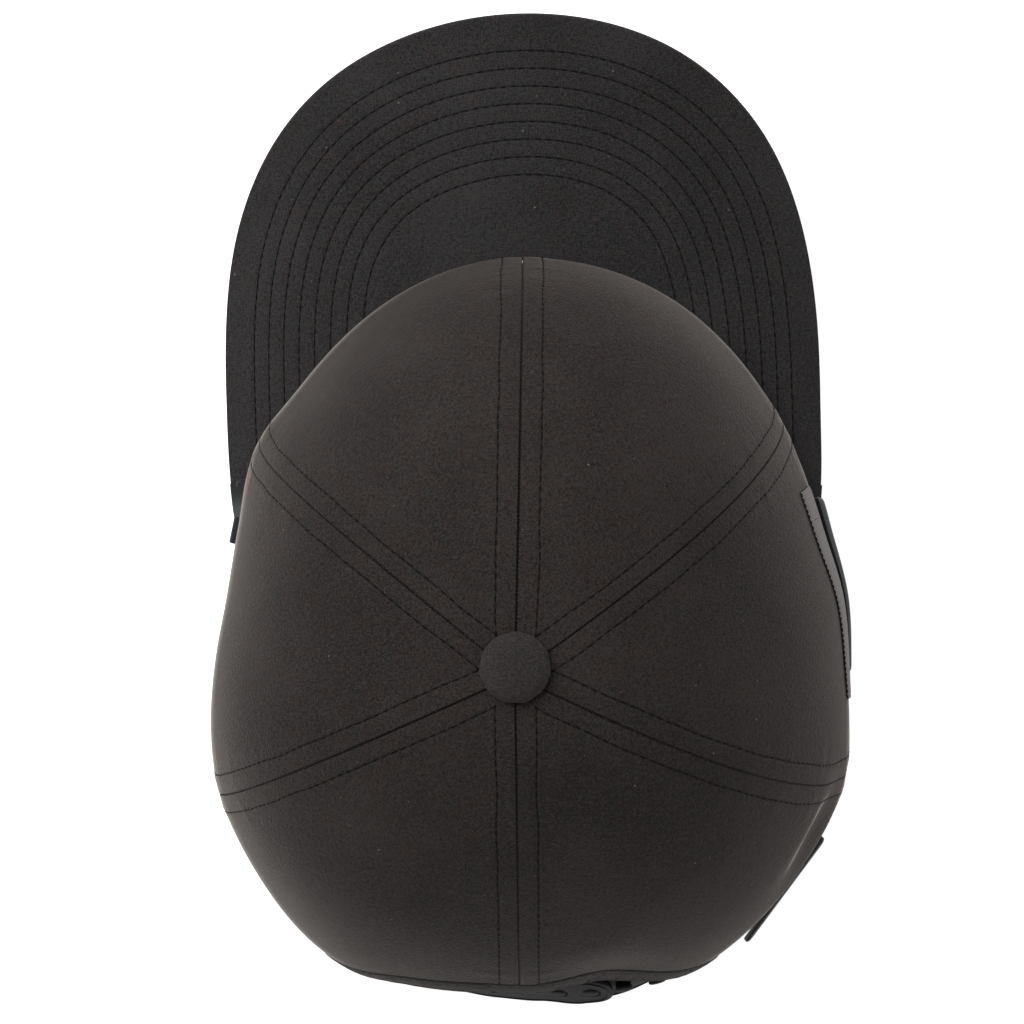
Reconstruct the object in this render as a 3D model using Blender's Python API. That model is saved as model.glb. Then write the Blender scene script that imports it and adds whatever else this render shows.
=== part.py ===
"""Snapback cap: six sewn crown panels, arched brim, button, sweatband and a fastened snap strap."""

import math

import bmesh
import bpy
from mathutils import Vector

# Driving dimensions, in metres. +Z is up and the brim points along -Y.

# Crown, measured from the button's axis
CROWN_HEIGHT = 0.118
FRONT_REACH = 0.1122
REAR_REACH = 0.0990
LEFT_REACH = 0.0836
RIGHT_REACH = 0.0932
BUTTON_X = 0.0028
CLOTH = 0.0016
SEAM_GAP = 0.0003
CLEARANCE = 0.0003
APEX_HOLE = 0.0030
SEAM_MEET = 0.0022
SEAM_MEET_LIMIT = 0.5

# Brim
BRIM_HALF_WIDTH = 0.0843
BRIM_FRONT_Y = -0.1781
BRIM_WIDEST_Y = -0.0716
BRIM_LEFT_END_Y = -0.0385
BRIM_RIGHT_END_Y = -0.0440
BRIM_ARCH_RADIUS = 0.1450
BRIM_THICKNESS = 0.0032
BRIM_FLOOR_GAP = 0.0004
BRIM_FRONT_POWER = 2.76
BRIM_SIDE_POWER = 2.0
BRIM_STRAIGHT_SHARE = 0.12
BRIM_END_TAPER = 0.0002

# Welts: the taped ends of the brim seam along the crown's foot
WELT_HEIGHT = 0.0100
WELT_THICKNESS = 0.0019
RIGHT_WELT_END_THICKNESS = 0.0007
LEFT_WELT_END_THICKNESS = 0.0019
RIGHT_WELT_END_Y = 0.0050
LEFT_WELT_END_Y = -0.0310

# Button
BUTTON_DIAMETER = 0.0183
BUTTON_HEIGHT = 0.0052
BUTTON_EDGE = 0.0016
BUTTON_FLATNESS = 0.8

# Sweatband
SWEATBAND_HEIGHT = 0.0320
SWEATBAND_THICKNESS = 0.0012
SWEATBAND_GAP = 0.0008

# Opening at the back, measured along the crown's foot
OPENING_HALF_ARC = 0.0500
OPENING_HEIGHT = 0.0460
BINDING_WIDTH = 0.0090
BINDING_THICKNESS = 0.0020
BINDING_PROUD = 0.0004

# Snap strap
STRAP_HEIGHT = 0.0190
STRAP_THICKNESS = 0.0014
STRAP_FLOOR_GAP = 0.0010
STRAP_TAB = 0.0100
STRAP_BOW = 0.0030
STRAP_LEAN = 0.0068
STRAP_END_RADIUS = 0.0080
STRAP_END_POWER = 2.6
SNAP_PITCH = 0.0094
SNAP_PEGS = 7
SNAP_HOLE_DIAMETER = 0.0052
SNAP_PEG_DIAMETER = 0.0036
SNAP_HEAD_DIAMETER = 0.0044
SNAP_HEAD_HEIGHT = 0.0010
SNAP_PROUD = 0.0004
FIRST_PEG_ARC = -0.0394
OUTER_END_MARGIN = 0.0060

# Blank label sewn on the wearer's right side
PATCH_LENGTH = 0.0580
PATCH_FRONT_Y = -0.0460
PATCH_LOW = 0.0165
PATCH_HIGH = 0.0410
PATCH_THICKNESS = 0.0008

# Blank stiff tab at the back right
TAB_LENGTH = 0.0363
TAB_HEIGHT = 0.0090
TAB_THICKNESS = 0.0012
TAB_LOW = 0.0020
TAB_BEARING = 147.0
TAB_SLIDE = 0.0141

# Fullness of the crown's outline against plain quarter ellipses through the four reaches.
# A bearing is counted from the wearer's left, anticlockwise seen from above.
OUTLINE = [
    {"bearing": 0.0, "fullness": 1.000},
    {"bearing": 22.5, "fullness": 1.058},
    {"bearing": 42.0, "fullness": 1.063},
    {"bearing": 54.0, "fullness": 1.063},
    {"bearing": 62.0, "fullness": 1.050},
    {"bearing": 72.0, "fullness": 1.016},
    {"bearing": 90.0, "fullness": 1.003},
    {"bearing": 112.0, "fullness": 1.031},
    {"bearing": 122.0, "fullness": 1.053},
    {"bearing": 136.0, "fullness": 1.061},
    {"bearing": 150.0, "fullness": 1.067},
    {"bearing": 160.0, "fullness": 1.056},
    {"bearing": 176.0, "fullness": 1.009},
    {"bearing": 190.0, "fullness": 0.999},
    {"bearing": 203.0, "fullness": 0.981},
    {"bearing": 225.0, "fullness": 0.998},
    {"bearing": 247.5, "fullness": 1.012},
    {"bearing": 270.0, "fullness": 1.000},
    {"bearing": 292.5, "fullness": 0.983},
    {"bearing": 308.0, "fullness": 0.984},
    {"bearing": 322.0, "fullness": 1.010},
    {"bearing": 335.0, "fullness": 0.980},
    {"bearing": 348.0, "fullness": 0.975},
]

# Roundness of the crown's profile towards each side: 2 is an ellipse, more is squarer
PROFILE = {"front": 2.35, "rear": 2.0, "left": 2.6, "right": 2.0}

# Each seam leaves the button on one bearing and reaches the foot on another; a low sway
# turns it early, a high sway late. The seams meet SEAM_MEET behind the button's axis.
SEAMS = [
    {"seam": "front", "top": -91.2, "foot": -91.0, "sway": 1.0},
    {"seam": "left_front", "top": -39.2, "foot": -44.2, "sway": 3.0},
    {"seam": "left_rear", "top": 24.5, "foot": 23.4, "sway": 1.0},
    {"seam": "rear", "top": 90.8, "foot": 90.8, "sway": 1.0},
    {"seam": "right_rear", "top": 154.3, "foot": 162.4, "sway": 1.0},
    {"seam": "right_front", "top": 215.7, "foot": 223.0, "sway": 1.0},
    {"seam": "front_again", "top": 268.8, "foot": 269.0, "sway": 1.0},
]

# Dents in the crown's wall: middle as a bearing and a share of CROWN_HEIGHT, with half spans
DENTS = [
    {"bearing": 106.0, "bearing_span": 14.0, "height": 0.39, "height_span": 0.24, "depth": 0.0034},
    {"bearing": 149.0, "bearing_span": 15.0, "height": 0.27, "height_span": 0.15, "depth": 0.0028},
    {"bearing": 139.0, "bearing_span": 18.0, "height": 0.055, "height_span": 0.13, "depth": 0.0029},
]

# How far the brim's outline leans to the wearer's left of its middle line, along the cap
BRIM_LEAN = [
    {"y": -0.1900, "lean": -0.0020},
    {"y": -0.1784, "lean": -0.0013},
    {"y": -0.1610, "lean": 0.0004},
    {"y": -0.1400, "lean": 0.0012},
    {"y": -0.1150, "lean": 0.0015},
    {"y": -0.0880, "lean": 0.0009},
    {"y": -0.0650, "lean": 0.0002},
    {"y": -0.0480, "lean": -0.0005},
    {"y": -0.0380, "lean": -0.0006},
    {"y": -0.0300, "lean": -0.0005},
]

PANELS = [
    {"name": "panel_front_left", "from": "front", "to": "left_front"},
    {"name": "panel_side_left", "from": "left_front", "to": "left_rear"},
    {"name": "panel_rear_left", "from": "left_rear", "to": "rear"},
    {"name": "panel_rear_right", "from": "rear", "to": "right_rear"},
    {"name": "panel_side_right", "from": "right_rear", "to": "right_front"},
    {"name": "panel_front_right", "from": "right_front", "to": "front_again"},
]

# How the strap lies between the two edges of the opening, from left to right. Place is a share
# of OPENING_HALF_ARC, bow outward a share of STRAP_BOW, and lean a share of STRAP_LEAN, by
# which the strap's upper edge lies further in than its lower edge.
STRAP_LIE = [
    {"place": 0.88, "bow": 0.0, "lean": 0.0},
    {"place": 0.36, "bow": -0.97, "lean": 0.53},
    {"place": 0.12, "bow": -1.05, "lean": 0.74},
    {"place": -0.12, "bow": -1.0, "lean": 0.88},
    {"place": -0.36, "bow": -0.60, "lean": 1.0},
    {"place": -0.52, "bow": -0.33, "lean": 1.0},
    {"place": -0.90, "bow": 0.0, "lean": 0.0},
]

# Fineness of the faceting and of the searches
PANEL_COLUMNS = 12
PANEL_ROWS = 14
PANEL_ROW_CROWDING = 1.25
ARCH_COLUMNS = 9
BRIM_COLUMNS = 44
BRIM_ROWS = 7
BAND_COLUMNS = 72
STRAP_COLUMNS = 20
ROUND_SIDES = 8
BUTTON_SIDES = 24
BUTTON_STEPS = 5
PATCH_COLUMNS = 12
WELT_COLUMNS = 14
TAB_COLUMNS = 6
SEAT_ROUNDS = 6
HALVINGS = 40
SMALL_BEARING = 0.2
SMALL_TURN = 0.004
SHARP_ANGLE = 40.0
WELD = 1e-7

MATERIALS = {
    "crown_cloth": {"colour": (0.031, 0.028, 0.027), "roughness": 0.95, "metallic": 0.0},
    "brim_cloth": {"colour": (0.026, 0.025, 0.025), "roughness": 0.95, "metallic": 0.0},
    "welt_tape": {"colour": (0.035, 0.037, 0.037), "roughness": 0.6, "metallic": 0.0},
    "sweatband_cloth": {"colour": (0.030, 0.028, 0.027), "roughness": 0.95, "metallic": 0.0},
    "strap_plastic": {"colour": (0.022, 0.022, 0.023), "roughness": 0.45, "metallic": 0.0},
    "patch_satin": {"colour": (0.300, 0.295, 0.300), "roughness": 0.5, "metallic": 0.0},
    "tab_board": {"colour": (0.030, 0.031, 0.031), "roughness": 0.6, "metallic": 0.0},
}


def clear_scene():
    for item in list(bpy.data.objects):
        bpy.data.objects.remove(item, do_unlink=True)


def make_material(name):
    row = MATERIALS[name]
    material = bpy.data.materials.new(name)
    material.use_nodes = True
    shader = material.node_tree.nodes["Principled BSDF"]
    shader.inputs["Base Color"].default_value = (*row["colour"], 1.0)
    shader.inputs["Roughness"].default_value = row["roughness"]
    shader.inputs["Metallic"].default_value = row["metallic"]
    return material


def smooth_step(share):
    share = min(max(share, 0.0), 1.0)
    return share * share * (3.0 - 2.0 * share)


# The crown's surface

def between(places, values, place):
    """Smooth value at a place between the middle two of four neighbours in a table."""
    span = places[2] - places[1]
    share = (place - places[1]) / span
    change = values[2] - values[1]
    slope_here = (values[2] - values[0]) / (places[2] - places[0]) * span
    slope_after = (values[3] - values[1]) / (places[3] - places[1]) * span
    return (values[1] + slope_here * share
            + (3.0 * change - 2.0 * slope_here - slope_after) * share ** 2
            + (slope_here + slope_after - 2.0 * change) * share ** 3)


def fullness(bearing):
    """Smooth closed curve through the outline table."""
    bearing %= 360.0
    index = max(k for k, row in enumerate(OUTLINE) if row["bearing"] <= bearing)
    places = []
    values = []
    for k in range(index - 1, index + 3):
        turns, row = divmod(k, len(OUTLINE))
        places.append(OUTLINE[row]["bearing"] + 360.0 * turns)
        values.append(OUTLINE[row]["fullness"])
    return between(places, values, bearing)


def foot_reach(bearing):
    """Distance from the button's axis to the crown's foot."""
    angle = math.radians(bearing)
    across = LEFT_REACH if math.cos(angle) > 0.0 else RIGHT_REACH
    along = REAR_REACH if math.sin(angle) > 0.0 else FRONT_REACH
    plain = 1.0 / math.hypot(math.cos(angle) / across, math.sin(angle) / along)
    return plain * fullness(bearing)


def profile_power(bearing):
    angle = math.radians(bearing)
    across = PROFILE["left"] if math.cos(angle) > 0.0 else PROFILE["right"]
    along = PROFILE["rear"] if math.sin(angle) > 0.0 else PROFILE["front"]
    return across * math.cos(angle) ** 2 + along * math.sin(angle) ** 2


def dent_depth(bearing, height_share):
    depth = 0.0
    for dent in DENTS:
        aside = abs((bearing - dent["bearing"] + 180.0) % 360.0 - 180.0) / dent["bearing_span"]
        above = abs(height_share - dent["height"]) / dent["height_span"]
        depth += dent["depth"] * smooth_step(1.0 - aside) * smooth_step(1.0 - above)
    return depth


def dome_point(bearing, turn):
    """Point on the outer surface, with turn going from 0 at the button to a right angle at the foot."""
    power = profile_power(bearing)
    across = math.sin(turn)
    up = max(math.cos(turn), 0.0)
    length = (across ** power + up ** power) ** (1.0 / power)
    reach = foot_reach(bearing) * across / length - dent_depth(bearing, up / length)
    angle = math.radians(bearing)
    return Vector((BUTTON_X + reach * math.cos(angle), reach * math.sin(angle), CROWN_HEIGHT * up / length))


def turn_at(bearing, height):
    power = profile_power(bearing)
    share = min(max(height / CROWN_HEIGHT, 0.0), 1.0)
    return math.atan2((1.0 - share ** power) ** (1.0 / power), share)


def outer_point(bearing, height):
    return dome_point(bearing, turn_at(bearing, height))


def offset_dome(bearing, turn, outward):
    """Point moved off the outer surface along its normal."""
    here = dome_point(bearing, turn)
    round_way = dome_point(bearing + SMALL_BEARING, turn) - dome_point(bearing - SMALL_BEARING, turn)
    low_turn = min(turn + SMALL_TURN, math.pi / 2.0)
    down_way = dome_point(bearing, low_turn) - dome_point(bearing, turn - SMALL_TURN)
    normal = down_way.cross(round_way).normalized()
    if turn >= math.pi / 2.0 - SMALL_TURN:
        normal = Vector((normal.x, normal.y, 0.0)).normalized()
    return here + normal * outward


def wall_point(bearing, height, outward):
    return offset_dome(bearing, turn_at(bearing, height), outward)


def seam_bearing(name, turn):
    row = next(seam for seam in SEAMS if seam["seam"] == name)
    share = (1.0 - math.cos(turn)) ** row["sway"]
    bearing = row["top"] + (row["foot"] - row["top"]) * share
    power = profile_power(bearing)
    across = math.sin(turn)
    length = (across ** power + max(math.cos(turn), 0.0) ** power) ** (1.0 / power)
    aside = min(SEAM_MEET / (foot_reach(bearing) * across / length), SEAM_MEET_LIMIT)
    return bearing + math.degrees(math.asin(aside * math.cos(math.radians(bearing))))


# The brim's arched sheet

BRIM_EDGE_ANGLE = math.asin(BRIM_HALF_WIDTH / BRIM_ARCH_RADIUS)
BRIM_ARCH_CENTRE = BRIM_FLOOR_GAP - (BRIM_ARCH_RADIUS - BRIM_THICKNESS) * math.cos(BRIM_EDGE_ANGLE)


def brim_point(angle, y, depth):
    """Point of the sheet at an angle round its arch and a depth below its top side."""
    radius = BRIM_ARCH_RADIUS - depth
    return Vector((radius * math.sin(angle), y, BRIM_ARCH_CENTRE + radius * math.cos(angle)))


def brim_height(x, depth):
    return BRIM_ARCH_CENTRE + math.sqrt((BRIM_ARCH_RADIUS - depth) ** 2 - x * x)


def brim_seat(bearing, depth, outward):
    """Place on the crown's wall level with the sheet at a depth below its top side."""
    place = wall_point(bearing, 0.0, outward)
    for _ in range(SEAT_ROUNDS):
        place = wall_point(bearing, max(brim_height(place.x, depth), 0.0), outward)
    return place


def brim_lean(y):
    index = max(k for k, row in enumerate(BRIM_LEAN) if row["y"] <= y)
    rows = BRIM_LEAN[index - 1:index + 3]
    return between([row["y"] for row in rows], [row["lean"] for row in rows], y)


def brim_end_y(side):
    """Where the brim ends, side being positive on the wearer's left."""
    return BRIM_LEFT_END_Y if side > 0.0 else BRIM_RIGHT_END_Y


def brim_edge(share):
    """Outer edge as arch angle and y, share going from the left end over the front to the right."""
    side = -1.0 if share > 0.5 else 1.0
    way = 1.0 - abs(2.0 * share - 1.0)
    if way < BRIM_STRAIGHT_SHARE:
        back = 1.0 - way / BRIM_STRAIGHT_SHARE
        angle = BRIM_EDGE_ANGLE - BRIM_END_TAPER / BRIM_ARCH_RADIUS * back ** 2
        y = BRIM_WIDEST_Y + (brim_end_y(side) - BRIM_WIDEST_Y) * back
    else:
        turn = math.pi / 2.0 * (way - BRIM_STRAIGHT_SHARE) / (1.0 - BRIM_STRAIGHT_SHARE)
        angle = BRIM_EDGE_ANGLE * math.cos(turn) ** (2.0 / BRIM_SIDE_POWER)
        y = BRIM_WIDEST_Y + (BRIM_FRONT_Y - BRIM_WIDEST_Y) * math.sin(turn) ** (2.0 / BRIM_FRONT_POWER)
    return side * angle + brim_lean(y) / BRIM_ARCH_RADIUS, y


def foot_height(bearing):
    """Height of the crown's foot: on the table at the sides and back, on the brim in front."""
    place = outer_point(bearing, 0.0)
    if place.y > brim_end_y(place.x):
        return 0.0
    return brim_seat(bearing, BRIM_THICKNESS, 0.0).z


def bearing_at_y(target, side):
    """Bearing at which the crown's foot crosses a line across the cap, on the left or right side."""
    low, high = (-90.0, 90.0) if side > 0.0 else (270.0, 90.0)
    for _ in range(HALVINGS):
        middle = (low + high) / 2.0
        if outer_point(middle, 0.0).y < target:
            low = middle
        else:
            high = middle
    return (low + high) / 2.0


# The opening at the back

REAR_SEAM = next(seam["foot"] for seam in SEAMS if seam["seam"] == "rear")


def arc_bearing(arc):
    """Bearing of a place at the back, given as an arc along the foot, positive to the wearer's left."""
    return REAR_SEAM - math.degrees(arc / REAR_REACH)


def opening_point(turn, widening, outward):
    """Point on the opening's edge, turn going from 0 at the left foot over the top to pi."""
    arc = (OPENING_HALF_ARC + widening) * math.cos(turn)
    height = (OPENING_HEIGHT + widening) * math.sin(turn)
    return wall_point(arc_bearing(arc), height, outward)


# Building solids

def finish_mesh(name, mesh_data, material, flat=False):
    bmesh.ops.remove_doubles(mesh_data, verts=mesh_data.verts, dist=WELD)
    bmesh.ops.recalc_face_normals(mesh_data, faces=mesh_data.faces)
    mesh = bpy.data.meshes.new(name)
    mesh_data.to_mesh(mesh)
    mesh_data.free()
    if not flat:
        mesh.shade_smooth()
        mesh.set_sharp_from_angle(angle=math.radians(SHARP_ANGLE))
    mesh.materials.append(material)
    item = bpy.data.objects.new(name, mesh)
    bpy.context.scene.collection.objects.link(item)
    return item


def sheet_solid(name, outer, inner, material):
    """Closed solid between two grids of points that match row by row."""
    mesh_data = bmesh.new()
    skins = [[[mesh_data.verts.new(point) for point in row] for row in grid] for grid in (outer, inner)]
    rows = len(outer)
    columns = len(outer[0])
    for skin in skins:
        for r in range(rows - 1):
            for c in range(columns - 1):
                mesh_data.faces.new((skin[r][c], skin[r][c + 1], skin[r + 1][c + 1], skin[r + 1][c]))
    front, back = skins
    for r in range(rows - 1):
        for c in (0, columns - 1):
            mesh_data.faces.new((front[r][c], front[r + 1][c], back[r + 1][c], back[r][c]))
    for c in range(columns - 1):
        for r in (0, rows - 1):
            mesh_data.faces.new((front[r][c], front[r][c + 1], back[r][c + 1], back[r][c]))
    return finish_mesh(name, mesh_data, material)


def turned_solid(name, profile, centre, sides, material):
    """Solid of revolution about a vertical axis, from a profile of radius and height."""
    mesh_data = bmesh.new()
    verts = [mesh_data.verts.new((radius, 0.0, height)) for radius, height in profile]
    edges = [mesh_data.edges.new(pair) for pair in zip(verts, verts[1:])]
    bmesh.ops.spin(mesh_data, geom=verts + edges, cent=(0, 0, 0), axis=(0, 0, 1),
                   angle=2.0 * math.pi, steps=sides, use_merge=True)
    bmesh.ops.translate(mesh_data, verts=mesh_data.verts, vec=centre)
    return finish_mesh(name, mesh_data, material)


def round_tool(radius, length, place, direction):
    """Cylinder along a direction, used to cut holes and to add pegs."""
    mesh_data = bmesh.new()
    bmesh.ops.create_cone(mesh_data, cap_ends=True, segments=ROUND_SIDES,
                          radius1=radius, radius2=radius, depth=length)
    turn = Vector((0, 0, 1)).rotation_difference(direction).to_matrix().to_4x4()
    bmesh.ops.transform(mesh_data, matrix=turn, verts=mesh_data.verts)
    bmesh.ops.translate(mesh_data, verts=mesh_data.verts, vec=place)
    mesh = bpy.data.meshes.new("tool")
    mesh_data.to_mesh(mesh)
    mesh_data.free()
    item = bpy.data.objects.new("tool", mesh)
    bpy.context.scene.collection.objects.link(item)
    return item


def apply_boolean(item, tool, operation):
    modifier = item.modifiers.new(operation.lower(), "BOOLEAN")
    modifier.operation = operation
    modifier.object = tool
    modifier.solver = "EXACT"
    evaluated = item.evaluated_get(bpy.context.evaluated_depsgraph_get())
    mesh = bpy.data.meshes.new_from_object(evaluated)
    item.modifiers.clear()
    old_mesh = item.data
    item.data = mesh
    mesh.name = item.name
    bpy.data.meshes.remove(old_mesh)
    bpy.data.objects.remove(tool, do_unlink=True)


# The pieces

def panel_foot_columns(first, last):
    """Foot of a panel from seam to seam: bearing, and height over the back opening or the brim."""
    half_arc = OPENING_HALF_ARC + BINDING_WIDTH
    top = OPENING_HEIGHT + BINDING_WIDTH
    columns = []
    if "rear" not in (first, last):
        start = seam_bearing(first, math.pi / 2.0)
        end = seam_bearing(last, math.pi / 2.0)
        for c in range(PANEL_COLUMNS + 1):
            bearing = start + (end - start) * c / PANEL_COLUMNS
            columns.append((bearing, foot_height(bearing)))
        return columns
    side = 1.0 if last == "rear" else -1.0
    outer_seam = seam_bearing(first if side > 0.0 else last, math.pi / 2.0)
    plain = PANEL_COLUMNS - 4
    corner = arc_bearing(side * half_arc)
    for c in range(plain + 1):
        columns.append((outer_seam + (corner - outer_seam) * c / plain, 0.0))
    for c in range(1, ARCH_COLUMNS + 1):
        turn = math.pi / 2.0 * c / ARCH_COLUMNS
        columns.append((arc_bearing(side * half_arc * math.cos(turn)), top * math.sin(turn)))
    return columns if side > 0.0 else columns[::-1]


def panel_bearing(row, foot_share, turn):
    """Bearing at a share of the way across a panel, its seams' gap kept clear."""
    start = seam_bearing(row["from"], turn)
    end = seam_bearing(row["to"], turn)
    here = start + (end - start) * foot_share
    radius = (dome_point(here, turn).xy - Vector((BUTTON_X, 0.0))).length
    trim = math.degrees(SEAM_GAP / 2.0 / radius)
    return here + trim * (1.0 - 2.0 * foot_share)


def crown_panel(row, material):
    columns = panel_foot_columns(row["from"], row["to"])
    outer = []
    inner = []
    for r in range(PANEL_ROWS + 1):
        outer_row = []
        inner_row = []
        for bearing, height in columns:
            foot_turn = turn_at(bearing, height)
            foot_start = seam_bearing(row["from"], foot_turn)
            foot_end = seam_bearing(row["to"], foot_turn)
            across = (bearing - foot_start) / (foot_end - foot_start)
            top_turn = math.asin(APEX_HOLE / foot_reach(bearing))
            top_turn = math.asin(APEX_HOLE / foot_reach(panel_bearing(row, across, top_turn)))
            up = (r / PANEL_ROWS) ** PANEL_ROW_CROWDING
            turn = foot_turn + (top_turn - foot_turn) * up
            here = panel_bearing(row, across, turn)
            outer_row.append(offset_dome(here, turn, 0.0))
            inner_row.append(offset_dome(here, turn, -CLOTH))
        outer.append(outer_row)
        inner.append(inner_row)
    return sheet_solid(row["name"], outer, inner, material)


def top_button(material):
    radius = BUTTON_DIAMETER / 2.0
    seat = CROWN_HEIGHT + CLEARANCE
    stem_radius = APEX_HOLE - CLEARANCE
    profile = [(0.0, CROWN_HEIGHT - CLOTH), (stem_radius, CROWN_HEIGHT - CLOTH), (stem_radius, seat)]
    profile.append((radius - BUTTON_EDGE / 2.0, seat))
    profile.append((radius, seat + BUTTON_EDGE / 2.0))
    for k in range(BUTTON_STEPS + 1):
        turn = math.pi / 2.0 * k / BUTTON_STEPS
        reach = radius * max(math.cos(turn), 0.0) ** BUTTON_FLATNESS if k < BUTTON_STEPS else 0.0
        profile.append((reach, seat + BUTTON_EDGE + (BUTTON_HEIGHT - BUTTON_EDGE) * math.sin(turn)))
    return turned_solid("top_button", profile, Vector((BUTTON_X, 0.0, 0.0)), BUTTON_SIDES, material)


def brim(material):
    left_end = bearing_at_y(BRIM_LEFT_END_Y, 1.0)
    right_end = bearing_at_y(BRIM_RIGHT_END_Y, -1.0) - 360.0
    skins = []
    for depth in (0.0, BRIM_THICKNESS):
        seats = []
        edges = []
        for c in range(BRIM_COLUMNS + 1):
            share = c / BRIM_COLUMNS
            seat = brim_seat(left_end + (right_end - left_end) * share, depth, CLEARANCE)
            seats.append((math.asin(seat.x / (BRIM_ARCH_RADIUS - depth)), seat.y))
            edges.append(brim_edge(share))
        skin = []
        for r in range(BRIM_ROWS + 1):
            out = r / BRIM_ROWS
            row = []
            for (seat_angle, seat_y), (edge_angle, edge_y) in zip(seats, edges):
                angle = seat_angle + (edge_angle - seat_angle) * out
                row.append(brim_point(angle, seat_y + (edge_y - seat_y) * out, depth))
            skin.append(row)
        skins.append(skin)
    return sheet_solid("brim", skins[0], skins[1], material)


def welt(name, end_y, end_thickness, side, material):
    """Taped end of the brim seam, running back along the crown's foot."""
    start = bearing_at_y(brim_end_y(side) + CLEARANCE * 2.0, side)
    end = bearing_at_y(end_y, side)
    outer = []
    inner = []
    for height in (0.0, WELT_HEIGHT / 2.0, WELT_HEIGHT):
        outer_row = []
        inner_row = []
        for c in range(WELT_COLUMNS + 1):
            bearing = start + (end - start) * c / WELT_COLUMNS
            thickness = WELT_THICKNESS + (end_thickness - WELT_THICKNESS) * c / WELT_COLUMNS
            outer_row.append(wall_point(bearing, height, CLEARANCE + thickness))
            inner_row.append(wall_point(bearing, height, CLEARANCE))
        outer.append(outer_row)
        inner.append(inner_row)
    return sheet_solid(name, outer, inner, material)


def sweatband(material):
    """Band inside the crown's foot, from one tab of the strap round the front to the other."""
    end_arc = OPENING_HALF_ARC + STRAP_TAB + CLEARANCE
    left = arc_bearing(end_arc)
    right = arc_bearing(-end_arc) - 360.0
    room = CLOTH + SWEATBAND_GAP
    outer = []
    inner = []
    levels = 4
    for r in range(levels + 1):
        outer_row = []
        inner_row = []
        for c in range(BAND_COLUMNS + 1):
            share = c / BAND_COLUMNS
            bearing = left + (right - left) * share
            foot = foot_height(bearing)
            height = foot + SWEATBAND_HEIGHT * r / levels
            outer_row.append(wall_point(bearing, height, -room))
            inner_row.append(wall_point(bearing, height, -room - SWEATBAND_THICKNESS))
        outer.append(outer_row)
        inner.append(inner_row)
    return sheet_solid("sweatband", outer, inner, material)


def opening_binding(material):
    """Folded hem round the back opening, in line with the crown's wall."""
    steps = 2 * ARCH_COLUMNS
    outer = []
    inner = []
    widths = (0.0, BINDING_WIDTH / 2.0, BINDING_WIDTH - SEAM_GAP)
    for widening in widths:
        turns = [math.pi * c / steps for c in range(steps + 1)]
        outer.append([opening_point(turn, widening, BINDING_PROUD) for turn in turns])
        inner.append([opening_point(turn, widening, BINDING_PROUD - BINDING_THICKNESS) for turn in turns])
    return sheet_solid("opening_binding", outer, inner, material)


def strap_lie(place, key):
    """Smooth value of one column of STRAP_LIE at a place along the strap."""
    for here, after in zip(STRAP_LIE, STRAP_LIE[1:]):
        if after["place"] <= place <= here["place"]:
            share = smooth_step((here["place"] - place) / (here["place"] - after["place"]))
            return here[key] + (after[key] - here[key]) * share
    return 0.0


def strap_offset(arc, layer):
    """How far the middle of a strap half lies off the crown's outer surface."""
    tucked = -(BINDING_THICKNESS - BINDING_PROUD + CLEARANCE + STRAP_THICKNESS / 2.0)
    apart = (STRAP_THICKNESS + CLEARANCE) / 2.0
    place = arc / OPENING_HALF_ARC
    left_edge = STRAP_LIE[0]["place"]
    right_edge = STRAP_LIE[-1]["place"]
    across = min(max((left_edge - place) / (left_edge - right_edge), 0.0), 1.0)
    middle = tucked - apart + 2.0 * apart * across + strap_lie(place, "bow") * STRAP_BOW
    return middle + apart if layer == "outer" else middle - apart


def strap_lean(arc):
    return strap_lie(arc / OPENING_HALF_ARC, "lean") * STRAP_LEAN


def strap_half(name, layer, material):
    """One strap half: from its tab inside the crown's wall to its rounded free end."""
    side = 1.0 if layer == "outer" else -1.0
    last_peg = FIRST_PEG_ARC + SNAP_PITCH * (SNAP_PEGS - 1)
    start = side * (OPENING_HALF_ARC + STRAP_TAB)
    if layer == "outer":
        end = FIRST_PEG_ARC + SNAP_PITCH * 2.0 - OUTER_END_MARGIN
    else:
        end = last_peg + SNAP_HEAD_DIAMETER / 2.0 + CLEARANCE * 5.0 + SNAP_HEAD_HEIGHT
    middle = STRAP_FLOOR_GAP + STRAP_HEIGHT / 2.0
    outer = []
    inner = []
    levels = 4
    for r in range(levels + 1):
        outer_row = []
        inner_row = []
        level = 2.0 * r / levels - 1.0
        height = middle + STRAP_HEIGHT / 2.0 * level
        rounding = STRAP_END_RADIUS * (1.0 - math.sqrt(1.0 - abs(level) ** STRAP_END_POWER))
        for c in range(STRAP_COLUMNS + 1):
            arc = start + (end + side * rounding - start) * c / STRAP_COLUMNS
            off = strap_offset(arc, layer) - strap_lean(arc) * level / 2.0
            outer_row.append(wall_point(arc_bearing(arc), height, off + STRAP_THICKNESS / 2.0))
            inner_row.append(wall_point(arc_bearing(arc), height, off - STRAP_THICKNESS / 2.0))
        outer.append(outer_row)
        inner.append(inner_row)
    return sheet_solid(name, outer, inner, material)


def snap_place(arc):
    """Where a snap sits on the middle of the inner half, and which way it points."""
    height = STRAP_FLOOR_GAP + STRAP_HEIGHT / 2.0
    off = strap_offset(arc, "inner")
    middle = wall_point(arc_bearing(arc), height, off)
    above = wall_point(arc_bearing(arc), height, off + STRAP_THICKNESS)
    direction = (above - middle).normalized() + Vector((0.0, 0.0, strap_lean(arc) / STRAP_HEIGHT))
    return middle, direction.normalized()


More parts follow.
